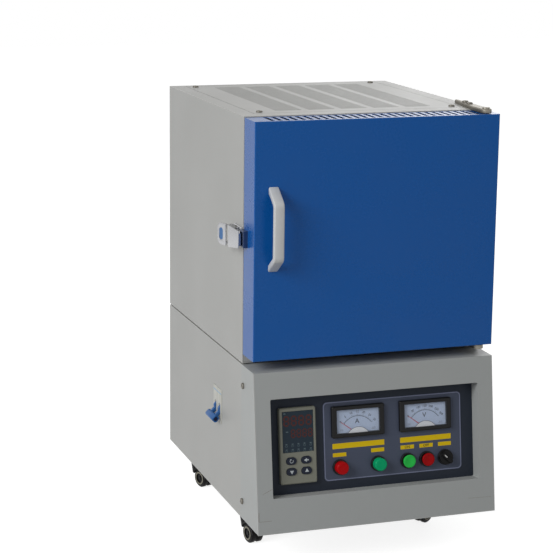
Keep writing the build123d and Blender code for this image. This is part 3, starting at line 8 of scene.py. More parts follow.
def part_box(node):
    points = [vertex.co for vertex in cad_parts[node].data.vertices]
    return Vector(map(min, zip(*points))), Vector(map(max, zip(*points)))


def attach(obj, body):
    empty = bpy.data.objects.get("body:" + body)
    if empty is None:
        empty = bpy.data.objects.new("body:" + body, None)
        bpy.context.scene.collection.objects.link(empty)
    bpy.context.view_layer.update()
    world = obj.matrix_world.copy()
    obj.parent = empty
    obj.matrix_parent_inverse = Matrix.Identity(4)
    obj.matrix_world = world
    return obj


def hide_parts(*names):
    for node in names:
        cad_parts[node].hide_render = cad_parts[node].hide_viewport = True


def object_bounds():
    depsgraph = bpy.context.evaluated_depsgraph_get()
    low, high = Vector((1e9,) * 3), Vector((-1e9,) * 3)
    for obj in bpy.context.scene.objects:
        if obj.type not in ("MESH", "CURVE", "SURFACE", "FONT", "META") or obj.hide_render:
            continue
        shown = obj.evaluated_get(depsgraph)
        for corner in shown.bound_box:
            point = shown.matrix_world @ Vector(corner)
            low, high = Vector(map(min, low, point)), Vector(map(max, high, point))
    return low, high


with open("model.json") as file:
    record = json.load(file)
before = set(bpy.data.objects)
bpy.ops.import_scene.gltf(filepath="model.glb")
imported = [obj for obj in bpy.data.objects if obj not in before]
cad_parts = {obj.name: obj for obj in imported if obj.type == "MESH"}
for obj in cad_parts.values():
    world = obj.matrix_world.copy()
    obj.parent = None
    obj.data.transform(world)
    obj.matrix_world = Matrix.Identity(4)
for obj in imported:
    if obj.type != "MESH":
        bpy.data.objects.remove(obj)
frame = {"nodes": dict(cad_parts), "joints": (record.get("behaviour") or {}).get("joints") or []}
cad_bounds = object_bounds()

# --------------------------------------------------------------------------- cabinet and body sheet
# The housings are folded from 1.5 mm steel sheet and finished in a light grey powder coat.
# The coat is satin, with a fine pebbled skin, faint clouds from the gun and rubbed fold lines, whose lighter tone is
# also a painted highlight along the folds.

def add(tree, kind, *places, **named):
    """A new shader node. Capitalised words and places fill its inputs, the others are its settings."""
    made = tree.nodes.new("ShaderNode" + kind)
    for word, value in named.items():
        if word[0].islower():
            setattr(made, word, value)
    filled = list(zip(made.inputs, places))
    filled += [(made.inputs[word.replace("_", " ")], value) for word, value in named.items() if word[0].isupper()]
    for socket, value in filled:
        if isinstance(value, bpy.types.NodeSocket):
            tree.links.new(value, socket)
        else:
            socket.default_value = value
    return made


def effect(name, inputs, outputs):
    """An empty node group whose inputs are given by name and first value, and its outputs by name."""
    tree = bpy.data.node_groups.new(name, "ShaderNodeTree")
    kinds = {float: "NodeSocketFloat", Vector: "NodeSocketVector", tuple: "NodeSocketColor"}
    for label, value in inputs.items():
        socket = tree.interface.new_socket(label, in_out="INPUT", socket_type=kinds[type(value)])
        socket.default_value = value
    for label in outputs:
        kind = "NodeSocketColor" if label == "Colour" else "NodeSocketFloat"
        tree.interface.new_socket(label, in_out="OUTPUT", socket_type=kind)
    return tree, tree.nodes.new("NodeGroupInput"), tree.nodes.new("NodeGroupOutput")


def use(tree, group, **named):
    """A node group placed in a material with its own values."""
    made = tree.nodes.new("ShaderNodeGroup")
    made.node_tree = group
    for word, value in named.items():
        socket = made.inputs[word.replace("_", " ")]
        if isinstance(value, bpy.types.NodeSocket):
            tree.links.new(value, socket)
        else:
            socket.default_value = value
    return made


def shade(red, green, blue):
    """A colour as it is seen, each part from 0 to 255."""
    return tuple(((part / 255 + 0.055) / 1.055) ** 2.4 for part in (red, green, blue))


def material(name, colour, **values):
    """A new material: returns it, its tree and its shader with the given sockets set."""
    made = bpy.data.materials.new(name)
    made.use_nodes = True
    tree = made.node_tree
    shader = tree.nodes["Principled BSDF"]
    shader.inputs["Base Color"].default_value = (*colour, 1)
    for word, value in values.items():
        shader.inputs[word.replace("_", " ")].default_value = value
    return made, tree, shader


def paint(made, *names):
    """Give CAD nodes or new pieces this material alone."""
    for name in names:
        thing = frame["nodes"][name] if name in frame["nodes"] else bpy.data.objects[name]
        thing.data.materials.clear()
        thing.data.materials.append(made)


def sums(tree, operation, *places):
    """The result of one sum on the numbers of a shader."""
    return add(tree, "Math", *places, operation=operation).outputs[0]


def vector_sums(tree, operation, *places):
    """The same for places and directions, each part by itself."""
    return add(tree, "VectorMath", *places, operation=operation).outputs[0]


# Clouds: broad and fine changes of tone, as in any sprayed, cast or moulded skin.
clouds, given, result = effect(
    "clouds", {"Tone": (0.5, 0.5, 0.5, 1), "Change": 0.1, "Scale": 12.0, "Fine scale": 260.0}, ["Colour", "Mask"])
place = add(clouds, "TexCoord").outputs["Object"]
broad = add(clouds, "TexNoise", Vector=place, Scale=given.outputs["Scale"], Detail=4.0)
fine = add(clouds, "TexNoise", Vector=place, Scale=given.outputs["Fine scale"], Detail=2.0)
both = sums(clouds, "ADD", sums(clouds, "MULTIPLY", broad.outputs[0], 0.65),
            sums(clouds, "MULTIPLY", fine.outputs[0], 0.35))
swing = sums(clouds, "MULTIPLY", sums(clouds, "SUBTRACT", both, 0.5), given.outputs["Change"])
toned = add(clouds, "VectorMath", given.outputs["Tone"], operation="SCALE", Scale=sums(clouds, "ADD", swing, 1.0))
clouds.links.new(toned.outputs[0], result.inputs["Colour"])
clouds.links.new(both, result.inputs["Mask"])

# Pebbled skin: the low bumps of powder coat or of spark-eroded plastic, as a height.
skin, given, result = effect("pebbled_skin", {"Scale": 900.0, "Softness": 0.4}, ["Height"])
place = add(skin, "TexCoord").outputs["Object"]
grains = add(skin, "TexVoronoi", Vector=place, Scale=given.outputs["Scale"], feature="SMOOTH_F1",
             Smoothness=given.outputs["Softness"])
waves = add(skin, "TexNoise", Vector=place, Scale=given.outputs["Scale"], Detail=3.0)
skin.links.new(sums(skin, "ADD", grains.outputs["Distance"], waves.outputs[0]), result.inputs["Height"])

# Edge band: how near a point of a boxy piece lies to one of its edges, broken up by noise. The coats tint it lighter
# for rubbed wear with a painted highlight, and the top cover tints it dark for a painted shadow in its gap.
edges, given, result = effect(
    "edge_band_mask", {"Place": Vector((0, 0, 0)), "Low": Vector((0, 0, 0)), "High": Vector((1, 1, 1)), "Width": 0.002},
    ["Mask"])
place = given.outputs["Place"]
low = vector_sums(edges, "ABSOLUTE", vector_sums(edges, "SUBTRACT", place, given.outputs["Low"]))
high = vector_sums(edges, "ABSOLUTE", vector_sums(edges, "SUBTRACT", given.outputs["High"], place))
near = add(edges, "SeparateXYZ", vector_sums(edges, "MINIMUM", low, high)).outputs
least = sums(edges, "MINIMUM", near[0], near[1])
most = sums(edges, "MAXIMUM", near[0], near[1])
middle = sums(edges, "MAXIMUM", least, sums(edges, "MINIMUM", most, near[2]))
breaks = add(edges, "TexNoise", Vector=place, Scale=90.0, Detail=5.0)
ragged = sums(edges, "MULTIPLY", given.outputs["Width"], breaks.outputs[0])
edged = add(edges, "MapRange", middle, 0.0, ragged, 1.0, 0.0, interpolation_type="SMOOTHSTEP")
edges.links.new(edged.outputs[0], result.inputs["Mask"])

# Settled dust: a pale film on what faces up, thicker in patches.
dust, given, result = effect("settled_dust", {"Amount": 0.3, "Scale": 25.0}, ["Mask"])
facing = add(dust, "SeparateXYZ", add(dust, "NewGeometry").outputs["Normal"])
upward = add(dust, "MapRange", facing.outputs[2], 0.5, 1.0, 0.0, 1.0)
place = add(dust, "TexCoord").outputs["Object"]
patches = add(dust, "TexNoise", Vector=place, Scale=given.outputs["Scale"], Detail=6.0)
film = sums(dust, "MULTIPLY", upward.outputs[0], patches.outputs[0])
dust.links.new(sums(dust, "MULTIPLY", film, given.outputs["Amount"]), result.inputs["Mask"])


def uneven(tree, mask, least, most):
    """A number that wanders from least to most with a mask, most of which lies between 0.3 and 0.7."""
    return add(tree, "MapRange", mask, 0.3, 0.7, least, most).outputs[0]


def surfaced(tree, shader, tone, gloss, height, strength, depth):
    """Wire a shader's colour, its roughness if it changes, and bumps as high as depth."""
    bump = add(tree, "Bump", Height=height, Strength=strength, Distance=depth)
    tree.links.new(tone, shader.inputs["Base Color"])
    if gloss:
        tree.links.new(gloss, shader.inputs["Roughness"])
    tree.links.new(bump.outputs[0], shader.inputs["Normal"])


pale_dust = (0.62, 0.60, 0.56, 1)
# A dark colour for painted shade inside hollows, such as slot walls.
hollow_shade = (0.012, 0.016, 0.028, 1)
edge_tint_strength = 0.55           # how far the edge colour shows on an edge (wear with a painted highlight; a painted gap shadow on the top cover)
hollow_edge = 0.0001          # half the width over which the coat gives way to the painted shade in hollows
SOFT_GLOSS = 1.3              # a low index of refraction, for the weak mirror of paint and plastic


def coat(name, colour, edge_tint, dusty, roughness, scope, turn=0.0, edge=0.0025, grain=1100.0, depth=0.00002, hollow=None,
         **values):
    """A sprayed coat on a boxy sheet piece that fills the box scope, its edges tinted to the edge colour: rubbed wear
    with a painted highlight, and on the top cover a painted gap shadow.

    The box is turned back by the piece's slope. The edge band is as wide as edge, and the skin's bumps
    are as fine as grain and as high as depth. What lies inside the smaller box hollow, such as a slot's
    walls, is painted dark as painted shade.
    """
    made, tree, shader = material(name, colour, **values)
    tone = use(tree, clouds, Tone=(*colour, 1), Change=0.05)
    spot = add(tree, "Mapping", add(tree, "TexCoord").outputs["Object"], Rotation=(turn, 0, 0))
    edge_band = use(tree, edges, Place=spot.outputs[0], Low=scope[0], High=scope[1], Width=edge)
    faded = sums(tree, "MULTIPLY", edge_band.outputs[0], edge_tint_strength)
    edged = add(tree, "MixRGB", faded, tone.outputs["Colour"], (*edge_tint, 1))
    film = use(tree, dust, Amount=dusty)
    shown = add(tree, "MixRGB", film.outputs[0], edged.outputs[0], pale_dust).outputs[0]
    if hollow:
        below = vector_sums(tree, "SUBTRACT", spot.outputs[0], hollow[0])
        above = vector_sums(tree, "SUBTRACT", hollow[1], spot.outputs[0])
        within = add(tree, "SeparateXYZ", vector_sums(tree, "MINIMUM", below, above)).outputs
        least = sums(tree, "MINIMUM", within[0], sums(tree, "MINIMUM", within[1], within[2]))
        deep = add(tree, "MapRange", least, -hollow_edge, hollow_edge, 0.0, 1.0)
        shown = add(tree, "MixRGB", deep.outputs[0], shown, hollow_shade).outputs[0]
    gloss = uneven(tree, tone.outputs["Mask"], roughness - 0.05, roughness + 0.07)
    surfaced(tree, shader, shown, gloss, use(tree, skin, Scale=grain).outputs[0], 0.35, depth)
    return made


light_grey = (0.412, 0.415, 0.402)
# The lighter edge grey below is rubbed wear together with a painted highlight along the folds.
rubbed_and_lit_grey = (0.52, 0.52, 0.50)
# A dark edge grey below, a painted shadow for the top cover's gap.
gap_shadow_grey = (0.10, 0.10, 0.09)
thin_dust = 0.25
satin = 0.42
for node in ("cabinet_shell", "cabinet_back", "furnace_shell", "furnace_front", "furnace_back"):
    paint(coat("grey_coat_" + node, light_grey, rubbed_and_lit_grey, thin_dust, satin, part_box(node), IOR=SOFT_GLOSS), node)

# A dark band round the top cover's edge, where it lies sunk in the roof, is a painted shadow of the gap there.
gap_shadow_width = 0.0042
paint(coat("grey_coat_top_cover", light_grey, gap_shadow_grey, thin_dust, satin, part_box("top_cover"), edge=gap_shadow_width,
           IOR=SOFT_GLOSS), "top_cover")

# ------------------------------------------------------------------------------------ console front
# The sloped front of the cabinet is one pressing in the same coat, screwed to the cabinet's sides.
# Hands and trolleys have scuffed its lower edge, and its corners show a little bare primer.

push_axis = next(j["axis"] for j in frame["joints"] if j["name"] == "button_green_press")
slope = atan2(-push_axis[2], push_axis[1])
across = Vector((1, 0, 0))
upslope = Vector((0, sin(slope), cos(slope)))
outward = Vector((0, -cos(slope), sin(slope)))


def turned_scope(node):
    """Box of a CAD node measured square to the sloped panel."""
    spots = [vertex.co for vertex in frame["nodes"][node].data.vertices]
    sides = [[spot.dot(way) for spot in spots] for way in (across, -outward, upslope)]
    return Vector(map(min, sides)), Vector(map(max, sides))


slope_turn = Matrix((across, upslope, outward)).transposed().to_4x4()


def front_of(node):
    """The middle of a CAD node's front, as a place: x to the right, y up the slope, z outwards."""
    low, high = turned_scope(node)
    middle = (low + high) / 2
    return Matrix.Translation(across * middle.x - outward * low.y + upslope * middle.z) @ slope_turn


# This grey is a touch darker and bluer than the body's, though the coat is the same: the cooler light on the front is
# painted in.
console_grey = (0.396, 0.412, 0.407)
paint(coat("grey_coat_console", console_grey, rubbed_and_lit_grey, thin_dust, satin, turned_scope("console_front"), slope,
           IOR=SOFT_GLOSS), "console_front")

# ------------------------------------------------------------------------------------ control panel
# A flat steel plate behind the recess, sprayed dark blue-grey, satin and nearly free of marks.
# It is clamped to the console from inside, so no fixings show.

charcoal = (0.021, 0.027, 0.040)
# The lighter edge tone below is rubbed wear together with a painted highlight.
rubbed_and_lit_charcoal = (0.08, 0.09, 0.11)
paint(coat("charcoal_coat", charcoal, rubbed_and_lit_charcoal, 0.05, 0.45, turned_scope("control_panel"), slope, edge=0.0008,
           IOR=1.25), "control_panel")

# ------------------------------------------------------------------------------------------ overlay
# A thin plate printed slate blue lies on the panel round the meters, lamps and buttons. It has a
# pale border line and bare yellow strips; it is held by the collars and the meters.

PRINT = 0.00006               # thickness of a layer of print


def alone(piece):
    """Leave only this piece selected."""
    bpy.ops.object.select_all(action="DESELECT")
    piece.select_set(True)
    bpy.context.view_layer.objects.active = piece


def edit(piece, choice="SELECT"):
    """Edit this piece alone, with all of it selected, none of it, or what was chosen before."""
    alone(piece)
    bpy.ops.object.mode_set(mode="EDIT")
    if choice:
        bpy.ops.mesh.select_all(action=choice)


def edited():
    """Leave edit mode, and return the piece."""
    bpy.ops.object.mode_set(mode="OBJECT")
    return bpy.context.object


def settle(piece, place):
    """Give a piece its place, and put that place in its mesh."""
    alone(piece)
    piece.matrix_world = place
    bpy.ops.object.transform_apply(location=True, rotation=True, scale=True)
    return piece


def at(x, y, z=0.0, turn=0.0):
    """A place on a plane: shifted by x, y and z, then turned in the plane."""
    return Matrix.Translation((x, y, z)) @ Matrix.Rotation(turn, 4, "Z")


def joined(parts):
    """Several pieces as one."""
    alone(parts[0])
    for part in parts:
        part.select_set(True)
    bpy.ops.object.join()
    return parts[0]


def thickened(piece, depth):
    """A flat piece given thickness on its front side."""
    alone(piece)
    wall = piece.modifiers.new("wall", "SOLIDIFY")
    wall.thickness = depth
    wall.offset = 1.0
    bpy.ops.object.modifier_apply(modifier="wall")
    return piece


def finished(piece, name, made, body, slot, *stands_for):
    """Name a piece, give it its material, and say what it rides on and stands for."""
    piece.name = name
    piece.data.name = name
    piece.data.materials.clear()
    piece.data.materials.append(made)
    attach(piece, body)
    if stands_for:
        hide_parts(*stands_for)


def strip(wide, tall, corner=0.0):
    """A flat strip round the origin, with its corners rounded if asked."""
    bpy.ops.object.select_all(action="DESELECT")
    bpy.ops.mesh.primitive_plane_add(size=1.0)
    bpy.ops.object.mode_set(mode="EDIT")
    bpy.ops.transform.resize(value=(wide, tall, 1))
    if corner:
        bpy.ops.mesh.bevel(offset=corner, segments=6, affect="VERTICES")
    return edited()


def frame_line(wide, tall, corner, line):
    """A flat line round a rounded rectangle."""
    piece = strip(wide, tall, corner)
    edit(piece)
    bpy.ops.mesh.inset(thickness=line)
    bpy.ops.mesh.delete(type="FACE")
    return edited()


def lettered(words, size):
    """Words as a flat mesh, centred on the origin."""
    bpy.ops.object.select_all(action="DESELECT")
    bpy.ops.object.text_add()
    text = bpy.context.object
    text.data.body = words
    text.data.size = size
    text.data.offset = size * 0.012
    text.data.align_x = "CENTER"
    text.data.align_y = "CENTER"
    bpy.ops.object.convert(target="MESH")
    return bpy.context.object


def moulded(name, colour, roughness, change=0.08, grain=1500.0, depth=0.000012, **values):
    """Moulded plastic, print or cast skin: faint clouds, a fine pebbled skin and uneven gloss."""
    made, tree, shader = material(name, colour, IOR=SOFT_GLOSS, **values)
    tone = use(tree, clouds, Tone=(*colour, 1), Change=change, Scale=30.0)
    gloss = uneven(tree, tone.outputs["Mask"], max(0.02, roughness - 0.05), roughness + 0.06)
    surfaced(tree, shader, tone.outputs["Colour"], gloss, use(tree, skin, Scale=grain).outputs[0], 0.3, depth)
    return made


paint(moulded("slate_print", shade(71, 78, 96), 0.42, 0.07), "panel_overlay")
border_print = moulded("border_print", shade(126, 132, 158), 0.4)
yellow_print = moulded("yellow_print", shade(226, 192, 12), 0.45, 0.06)
black_print = moulded("black_print", shade(38, 36, 34), 0.5)

low, high = turned_scope("panel_overlay")
overlay_size = high - low
panel_place = front_of("panel_overlay")


def on_panel(spot):
    """Where a point of the furnace lies on the overlay: x to the right, y up the slope, z outwards."""
    return panel_place.inverted() @ Vector(spot)


def middle_of(node):
    """Middle of a CAD node's box."""
    low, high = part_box(node)
    return (Vector(low) + Vector(high)) / 2


border_inset = 0.0006
border_corner = 0.0052
border_line = 0.0011
line = frame_line(overlay_size.x - 2 * border_inset, overlay_size.z - 2 * border_inset, border_corner, border_line)
finished(thickened(settle(line, panel_place), PRINT), "overlay_border", border_print, "furnace", "slate_print")

pivots = [on_panel(next(j["pos_m"] for j in frame["joints"] if j["name"] == name))
          for name in ("needle_current_turn", "needle_voltage_turn")]
strip_corner = 0.0004
long_strip, long_strip_height, long_strip_y = 0.070, 0.0068, -0.0067
short_strip_height, short_strip_y = 0.0050, -0.0160
strips = [settle(strip(long_strip, long_strip_height, strip_corner), panel_place @ at(pivot.x + 0.001, long_strip_y))
          for pivot in pivots]
front_row = [on_panel(middle_of(node)).x
             for node in ("lamp_red", "lamp_green", "button_green", "button_red", "selector_knob")]
for x, wide, lower in zip(front_row, (0.0180, 0.0178, 0.0185, 0.0185, 0.0180), (0.0018, 0, 0, 0, 0)):
    strips.append(settle(strip(wide, short_strip_height, strip_corner), panel_place @ at(x, short_strip_y - lower)))
finished(thickened(joined(strips), PRINT), "overlay_yellow_strips", yellow_print, "furnace", "slate_print")

words = []
for x, word in ((front_row[2], "ON"), (front_row[3], "OFF")):
    words.append(settle(lettered(word, 0.0046), panel_place @ at(x, short_strip_y, PRINT)))
finished(thickened(joined(words), PRINT / 2), "overlay_on_off", black_print, "furnace", "slate_print")

# Old scuffs on the console's front, where its coat is scratched through to the primer.
low, high = turned_scope("console_front")
console_place = Matrix.Translation(upslope * low.z - outward * low.y) @ slope_turn
scuffs = []
for x0, y0, x1, y1, wide in ((-0.1431, 0.0510, -0.1300, 0.0566, 0.00030), (-0.1484, 0.0286, -0.1487, 0.0174, 0.00045),
                             (-0.1487, 0.0172, -0.1319, 0.0169, 0.00028), (0.1327, 0.0197, 0.1650, 0.0189, 0.00022)):
    run = Vector((x1 - x0, y1 - y0))
    mark = strip(run.length, wide, wide * 0.3)
    scuffs.append(settle(mark, console_place @ at((x0 + x1) / 2, (y0 + y1) / 2, turn=atan2(run.y, run.x))))
bare_primer = moulded("bare_primer", shade(122, 108, 92), 0.6, change=0.4)
finished(thickened(joined(scuffs), PRINT / 2), "console_scuffs", bare_primer, "furnace", "grey_coat")

# --------------------------------------------------------------------------------------- controller
# The temperature controller has a moulded olive-grey case with a smoked window for its two rows of
# figures, and four oval rubber keys with white signs. It snaps into the panel from the front.

paint(moulded("controller_plastic", shade(128, 129, 118), 0.42, 0.06), "controller_case")
paint(moulded("display_tint", shade(22, 42, 56), 0.12, 0.04, depth=0.000002, Specular_IOR_Level=0.45),
      "controller_window")
dark_figures = moulded("dark_figures", shade(72, 30, 26), 0.3)
pale_print = moulded("pale_print", shade(190, 197, 200), 0.5)

window_place = front_of("controller_window")


def figure_eight(wide, tall, bar):
    """The seven bars of one unlit figure."""
    bars = []
    for y in (-1, 0, 1):
        bars.append(settle(strip(wide - 1.4 * bar, bar, bar * 0.45), at(0, y * (tall - bar) / 2)))
    for x in (-1, 1):
        for y in (-1, 1):
            spot = at(x * (wide - bar) / 2, y * (tall - bar) / 4, turn=pi / 2)
            bars.append(settle(strip((tall - bar) / 2 - 0.5 * bar, bar, bar * 0.45), spot))
    return joined(bars)


# Each row: a figure's width, height and bar, then the row's left end, its pitch and its height.
upper_row = (0.0080, 0.0134, 0.0021, -0.0149, 0.0098, 0.0137)
lower_row = (0.0062, 0.0112, 0.0017, -0.0063, 0.0075, -0.0023)
figures = []
for wide, tall, bar, left, pitch, y in (upper_row, lower_row):
    first = figure_eight(wide, tall, bar)
    for index in range(4):
        copy = bpy.data.objects.new("figure", first.data.copy())
        bpy.context.collection.objects.link(copy)
        figures.append(settle(copy, window_place @ at(left + index * pitch, y)))
    bpy.data.objects.remove(first)
finished(thickened(joined(figures), PRINT / 2), "display_figures", dark_figures, "furnace", "display_tint")

marks = []
for x, y in ((-0.0170, 0.0232), (-0.0142, 0.0002)):
    marks.append(settle(strip(0.0030, 0.0012, 0.0004), window_place @ at(x, y)))
for x in (-0.0155, -0.0074, 0.0003, 0.0082, 0.0164):
    for y in (-0.0153, -0.0222):
        marks.append(settle(strip(0.0024, 0.0010, 0.0003), window_place @ at(x, y)))
        marks.append(settle(frame_line(0.0030, 0.0022, 0.0005, 0.0003), window_place @ at(x, y - 0.0024)))
faint_print = moulded("faint_print", shade(96, 112, 118), 0.5)
finished(thickened(joined(marks), PRINT / 2), "display_marks", faint_print, "furnace", "display_tint")


def wedge(size):
    """A flat triangle that points up."""
    bpy.ops.object.select_all(action="DESELECT")
    bpy.ops.mesh.primitive_circle_add(vertices=3, radius=size, fill_type="NGON")
    return bpy.context.object


def arc(radius, line, start, end, steps=48):
    """A flat band along part of a circle: angles run clockwise from straight up."""
    bpy.ops.object.select_all(action="DESELECT")
    bpy.ops.mesh.primitive_plane_add(size=1.0)
    bpy.ops.object.mode_set(mode="EDIT")
    bpy.ops.transform.resize(value=(line, line, 1))
    bpy.ops.transform.translate(value=(0, radius, 0))
    band = edited()
    side = line / 2
    for vertex in band.data.vertices:
        vertex.select = vertex.co.x > 0
        vertex.co.x = 0.0 if vertex.co.x > 0 else -side * 0.02
    for edge in band.data.edges:
        edge.select = all(band.data.vertices[index].select for index in edge.vertices)
    for face in band.data.polygons:
        face.select = False
    edit(band, choice=None)
    bpy.ops.mesh.select_mode(type="EDGE")
    bpy.ops.mesh.spin(steps=steps, angle=end - start, center=(0, 0, 0), axis=(0, 0, 1))
    bpy.ops.mesh.select_mode(type="VERT")
    bpy.ops.mesh.select_all(action="SELECT")
    bpy.ops.mesh.remove_doubles(threshold=1e-7)
    bpy.ops.mesh.normals_make_consistent(inside=False)
    edited()
    if band.data.polygons[-1].normal.z < 0:
        band.data.flip_normals()
    return settle(band, Matrix.Rotation(-start, 4, "Z"))


key_rubber = moulded("key_navy", shade(20, 27, 42), 0.5, 0.06)
for key in ("key_mode", "key_shift", "key_down", "key_up"):
    paint(key_rubber, key)
    place = front_of(key)
    if key == "key_mode":
        signs = [settle(arc(0.0021, 0.0006, radians(50), radians(330), 24), place),
                 settle(wedge(0.0013), place @ at(-0.0010, 0.0018, turn=radians(60)))]
    elif key == "key_shift":
        signs = [settle(wedge(0.0027), place @ at(-0.0010, 0, turn=pi / 2)),
                 settle(strip(0.0026, 0.0013), place @ at(0.0015, 0))]
    else:
        signs = [settle(wedge(0.0030), place @ at(0, 0, turn=0 if key == "key_up" else pi))]
    finished(thickened(joined(signs), PRINT), key + "_sign", pale_print, key, "key_navy")

# ------------------------------------------------------------------------------- moving-coil meters
# Two panel meters: black moulded cases, printed dial plates with a fine arc, ticks and figures, a red
# needle, a white half-round cover over its root, and a clear pane. The barrels pass through the panel.

paint(moulded("black_plastic", shade(15, 15, 16), 0.38, 0.1, grain=1200.0), "meter_cases", "switch_collars",
      "fan_frame", "fan_rotor", "cable_gland")
# The dial plates' pale blue is partly a painted reflection from the glass over them.
paint(moulded("dial_face", shade(190, 205, 230), 0.55, 0.03), "meter_dials")
paint(moulded("needle_red", shade(196, 28, 24), 0.45), "needle_current", "needle_voltage")
clear_pane, tree, shader = material("clear_pane", shade(205, 214, 230), Roughness=0.04, Alpha=0.08, IOR=SOFT_GLOSS)
smear = use(tree, clouds, Tone=(0.5, 0.5, 0.5, 1), Change=0.3, Scale=60.0)
tree.links.new(uneven(tree, smear.outputs["Mask"], 0.03, 0.09), shader.inputs["Roughness"])
paint(clear_pane, "meter_glasses")
dial_ink = moulded("dial_ink", shade(40, 42, 50), 0.55)
cover_white = moulded("cover_white", shade(235, 237, 240), 0.45, 0.03)


def crown_cap(radius, tall):
    """The top of a large disc, as high as asked, standing on the origin's level."""
    bpy.ops.object.select_all(action="DESELECT")
    bpy.ops.mesh.primitive_circle_add(vertices=96, radius=radius, fill_type="NGON")
    edit(bpy.context.object)
    bpy.ops.transform.translate(value=(0, tall - radius, 0))
    bpy.ops.mesh.bisect(plane_co=(0, 0, 0), plane_no=(0, 1, 0), clear_inner=True)
    return edited()


sweep = radians(54)           # of the needle, to each side of upright
scale_radius = 0.0228
scale_line = 0.00055
ticks = 30
tick_line = 0.00032
long_tick, short_tick = 0.0027, 0.0015
plate_height = 0.030          # a spot on the bare dial plate lies this far above the pivot
boss_reach = 0.0115           # and the boss under the cover reaches this far from it
cover_radius = 0.017
cover_height = 0.0088
rim_radius, rim_line, rim_drop = 0.0168, 0.0005, 0.0077
rim_reach = atan2(0.0140, 0.0094)
for name, pivot, figures, letter in (("current", pivots[0], range(0, 31, 5), "A"),
                                     ("voltage", pivots[1], range(0, 301, 50), "V")):
    scope = [vertex.co for vertex in frame["nodes"]["meter_dials"].data.vertices]
    plate_front = max(spot.dot(outward) for spot in scope if abs(on_panel(spot).y - pivot.y - plate_height) < 0.004)
    overlay_front = panel_place.translation.dot(outward)
    place = panel_place @ at(pivot.x, pivot.y, plate_front - overlay_front)
    inks = [settle(arc(scale_radius, scale_line, -sweep, sweep), place)]
    for index in range(ticks + 1):
        turn = sweep - index * sweep / (ticks / 2)
        tall = long_tick if index % 5 == 0 else short_tick
        inks.append(settle(strip(tick_line, tall), place @ at(0, 0, turn=turn) @ at(0, scale_radius + tall / 2)))
    for index, figure in enumerate(figures):
        turn = sweep - index * sweep / 3
        spot = place @ at(0, 0, turn=turn) @ at(0, scale_radius + 0.0052, turn=-turn * 0.3)
        inks.append(settle(lettered(str(figure), 0.0040), spot))
    inks.append(settle(lettered(letter, 0.0084), place @ at(-0.0006, 0.0162)))
    for side, wide in ((-1, 0.0045), (1, 0.0055)):
        inks.append(settle(strip(wide, 0.00035), place @ at(side * 0.0215, 0.0052)))
        inks.append(settle(strip(wide * 0.8, 0.00035), place @ at(side * 0.0218, 0.0066)))
    finished(thickened(joined(inks), PRINT / 2), "dial_scale_" + name, dial_ink, "furnace", "dial_face")
    boss = [spot for spot in scope if (on_panel(spot).to_2d() - pivot.to_2d()).length < boss_reach]
    place = panel_place @ at(pivot.x, pivot.y, max(spot.dot(outward) for spot in boss) - overlay_front)
    cover = settle(crown_cap(cover_radius, cover_height), place)
    finished(thickened(cover, PRINT), "hub_cover_" + name, cover_white, "furnace", "dial_face")
    rim = settle(arc(rim_radius, rim_line, -rim_reach, rim_reach, 40), place @ at(0, -rim_drop))
    finished(thickened(rim, PRINT * 2), "hub_rim_" + name, dial_ink, "furnace", "dial_face")

# ---------------------------------------------------------------------- lamps, buttons and selector
# Signal lamps and push-buttons are moulded in coloured plastic, glossy, in black threaded collars
# with a nut behind the panel. The selector is a black knob with a grip and a white pointer line.


def lens(name, colour, roughness, centre, ripple, **values):
    """Coloured moulding with faint rings turned round its middle."""
    made, tree, shader = material(name, colour, IOR=SOFT_GLOSS, **values)
    tone = use(tree, clouds, Tone=(*colour, 1), Change=0.10, Scale=90.0)
    gloss = uneven(tree, tone.outputs["Mask"], roughness, roughness + 0.10)
    away = add(tree, "VectorMath", add(tree, "TexCoord").outputs["Object"], centre, operation="DISTANCE")
    rings = sums(tree, "SINE", sums(tree, "MULTIPLY", away.outputs["Value"], ripple))
    surfaced(tree, shader, tone.outputs["Colour"], gloss, rings, 0.25, 0.0001)
    return made


for node, colour, rough, ripple in (("lamp_red", shade(178, 6, 12), 0.18, 5200.0),
                                    ("lamp_green", shade(6, 165, 108), 0.18, 5200.0),
                                    ("button_green", shade(48, 192, 80), 0.3, 3000.0),
                                    ("button_red", shade(160, 10, 14), 0.26, 3000.0)):
    paint(lens(node + "_plastic", colour, rough, middle_of(node), ripple, Specular_IOR_Level=0.2), node)
paint(moulded("knob_black", shade(13, 13, 14), 0.34, 0.1, Specular_IOR_Level=0.3), "selector_knob")


def span(values):
    """The lowest and the highest of some numbers."""
    values = list(values)
    return min(values), max(values)


spots = [on_panel(vertex.co) for vertex in frame["nodes"]["selector_knob"].data.vertices]
knob_front = max(spot.z for spot in spots)
grip = [spot for spot in spots if spot.z > knob_front - 0.0002]
low_x, high_x = span(spot.x for spot in grip)
low_y, high_y = span(spot.y for spot in grip)
grip_place = panel_place @ at((low_x + high_x) / 2, (low_y + high_y) / 2, knob_front)
pointer = settle(strip(0.0010, 0.0050, 0.0003), grip_place @ at(0, 0, turn=radians(-135)) @ at(0, -0.0038))
pointer_white = moulded("pointer_white", shade(225, 225, 222), 0.5)
finished(thickened(pointer, PRINT), "knob_pointer", pointer_white, "selector", "black_plastic")

# ---------------------------------------------------------------------------------- circuit breaker
# A two-pole breaker sits in the cabinet's left side with only its white nose and blue toggle outside.
# It clips on a rail inside; the toggle's two levers are tied by a bar.


def merged(node, name):
    """A copy of a CAD node's mesh as a clean new piece."""
    piece = bpy.data.objects.new(name, frame["nodes"][node].data.copy())
    bpy.context.collection.objects.link(piece)
    edit(piece)
    bpy.ops.mesh.remove_doubles(threshold=2e-6)
    bpy.ops.mesh.dissolve_limited(angle_limit=radians(0.8))
    return edited()


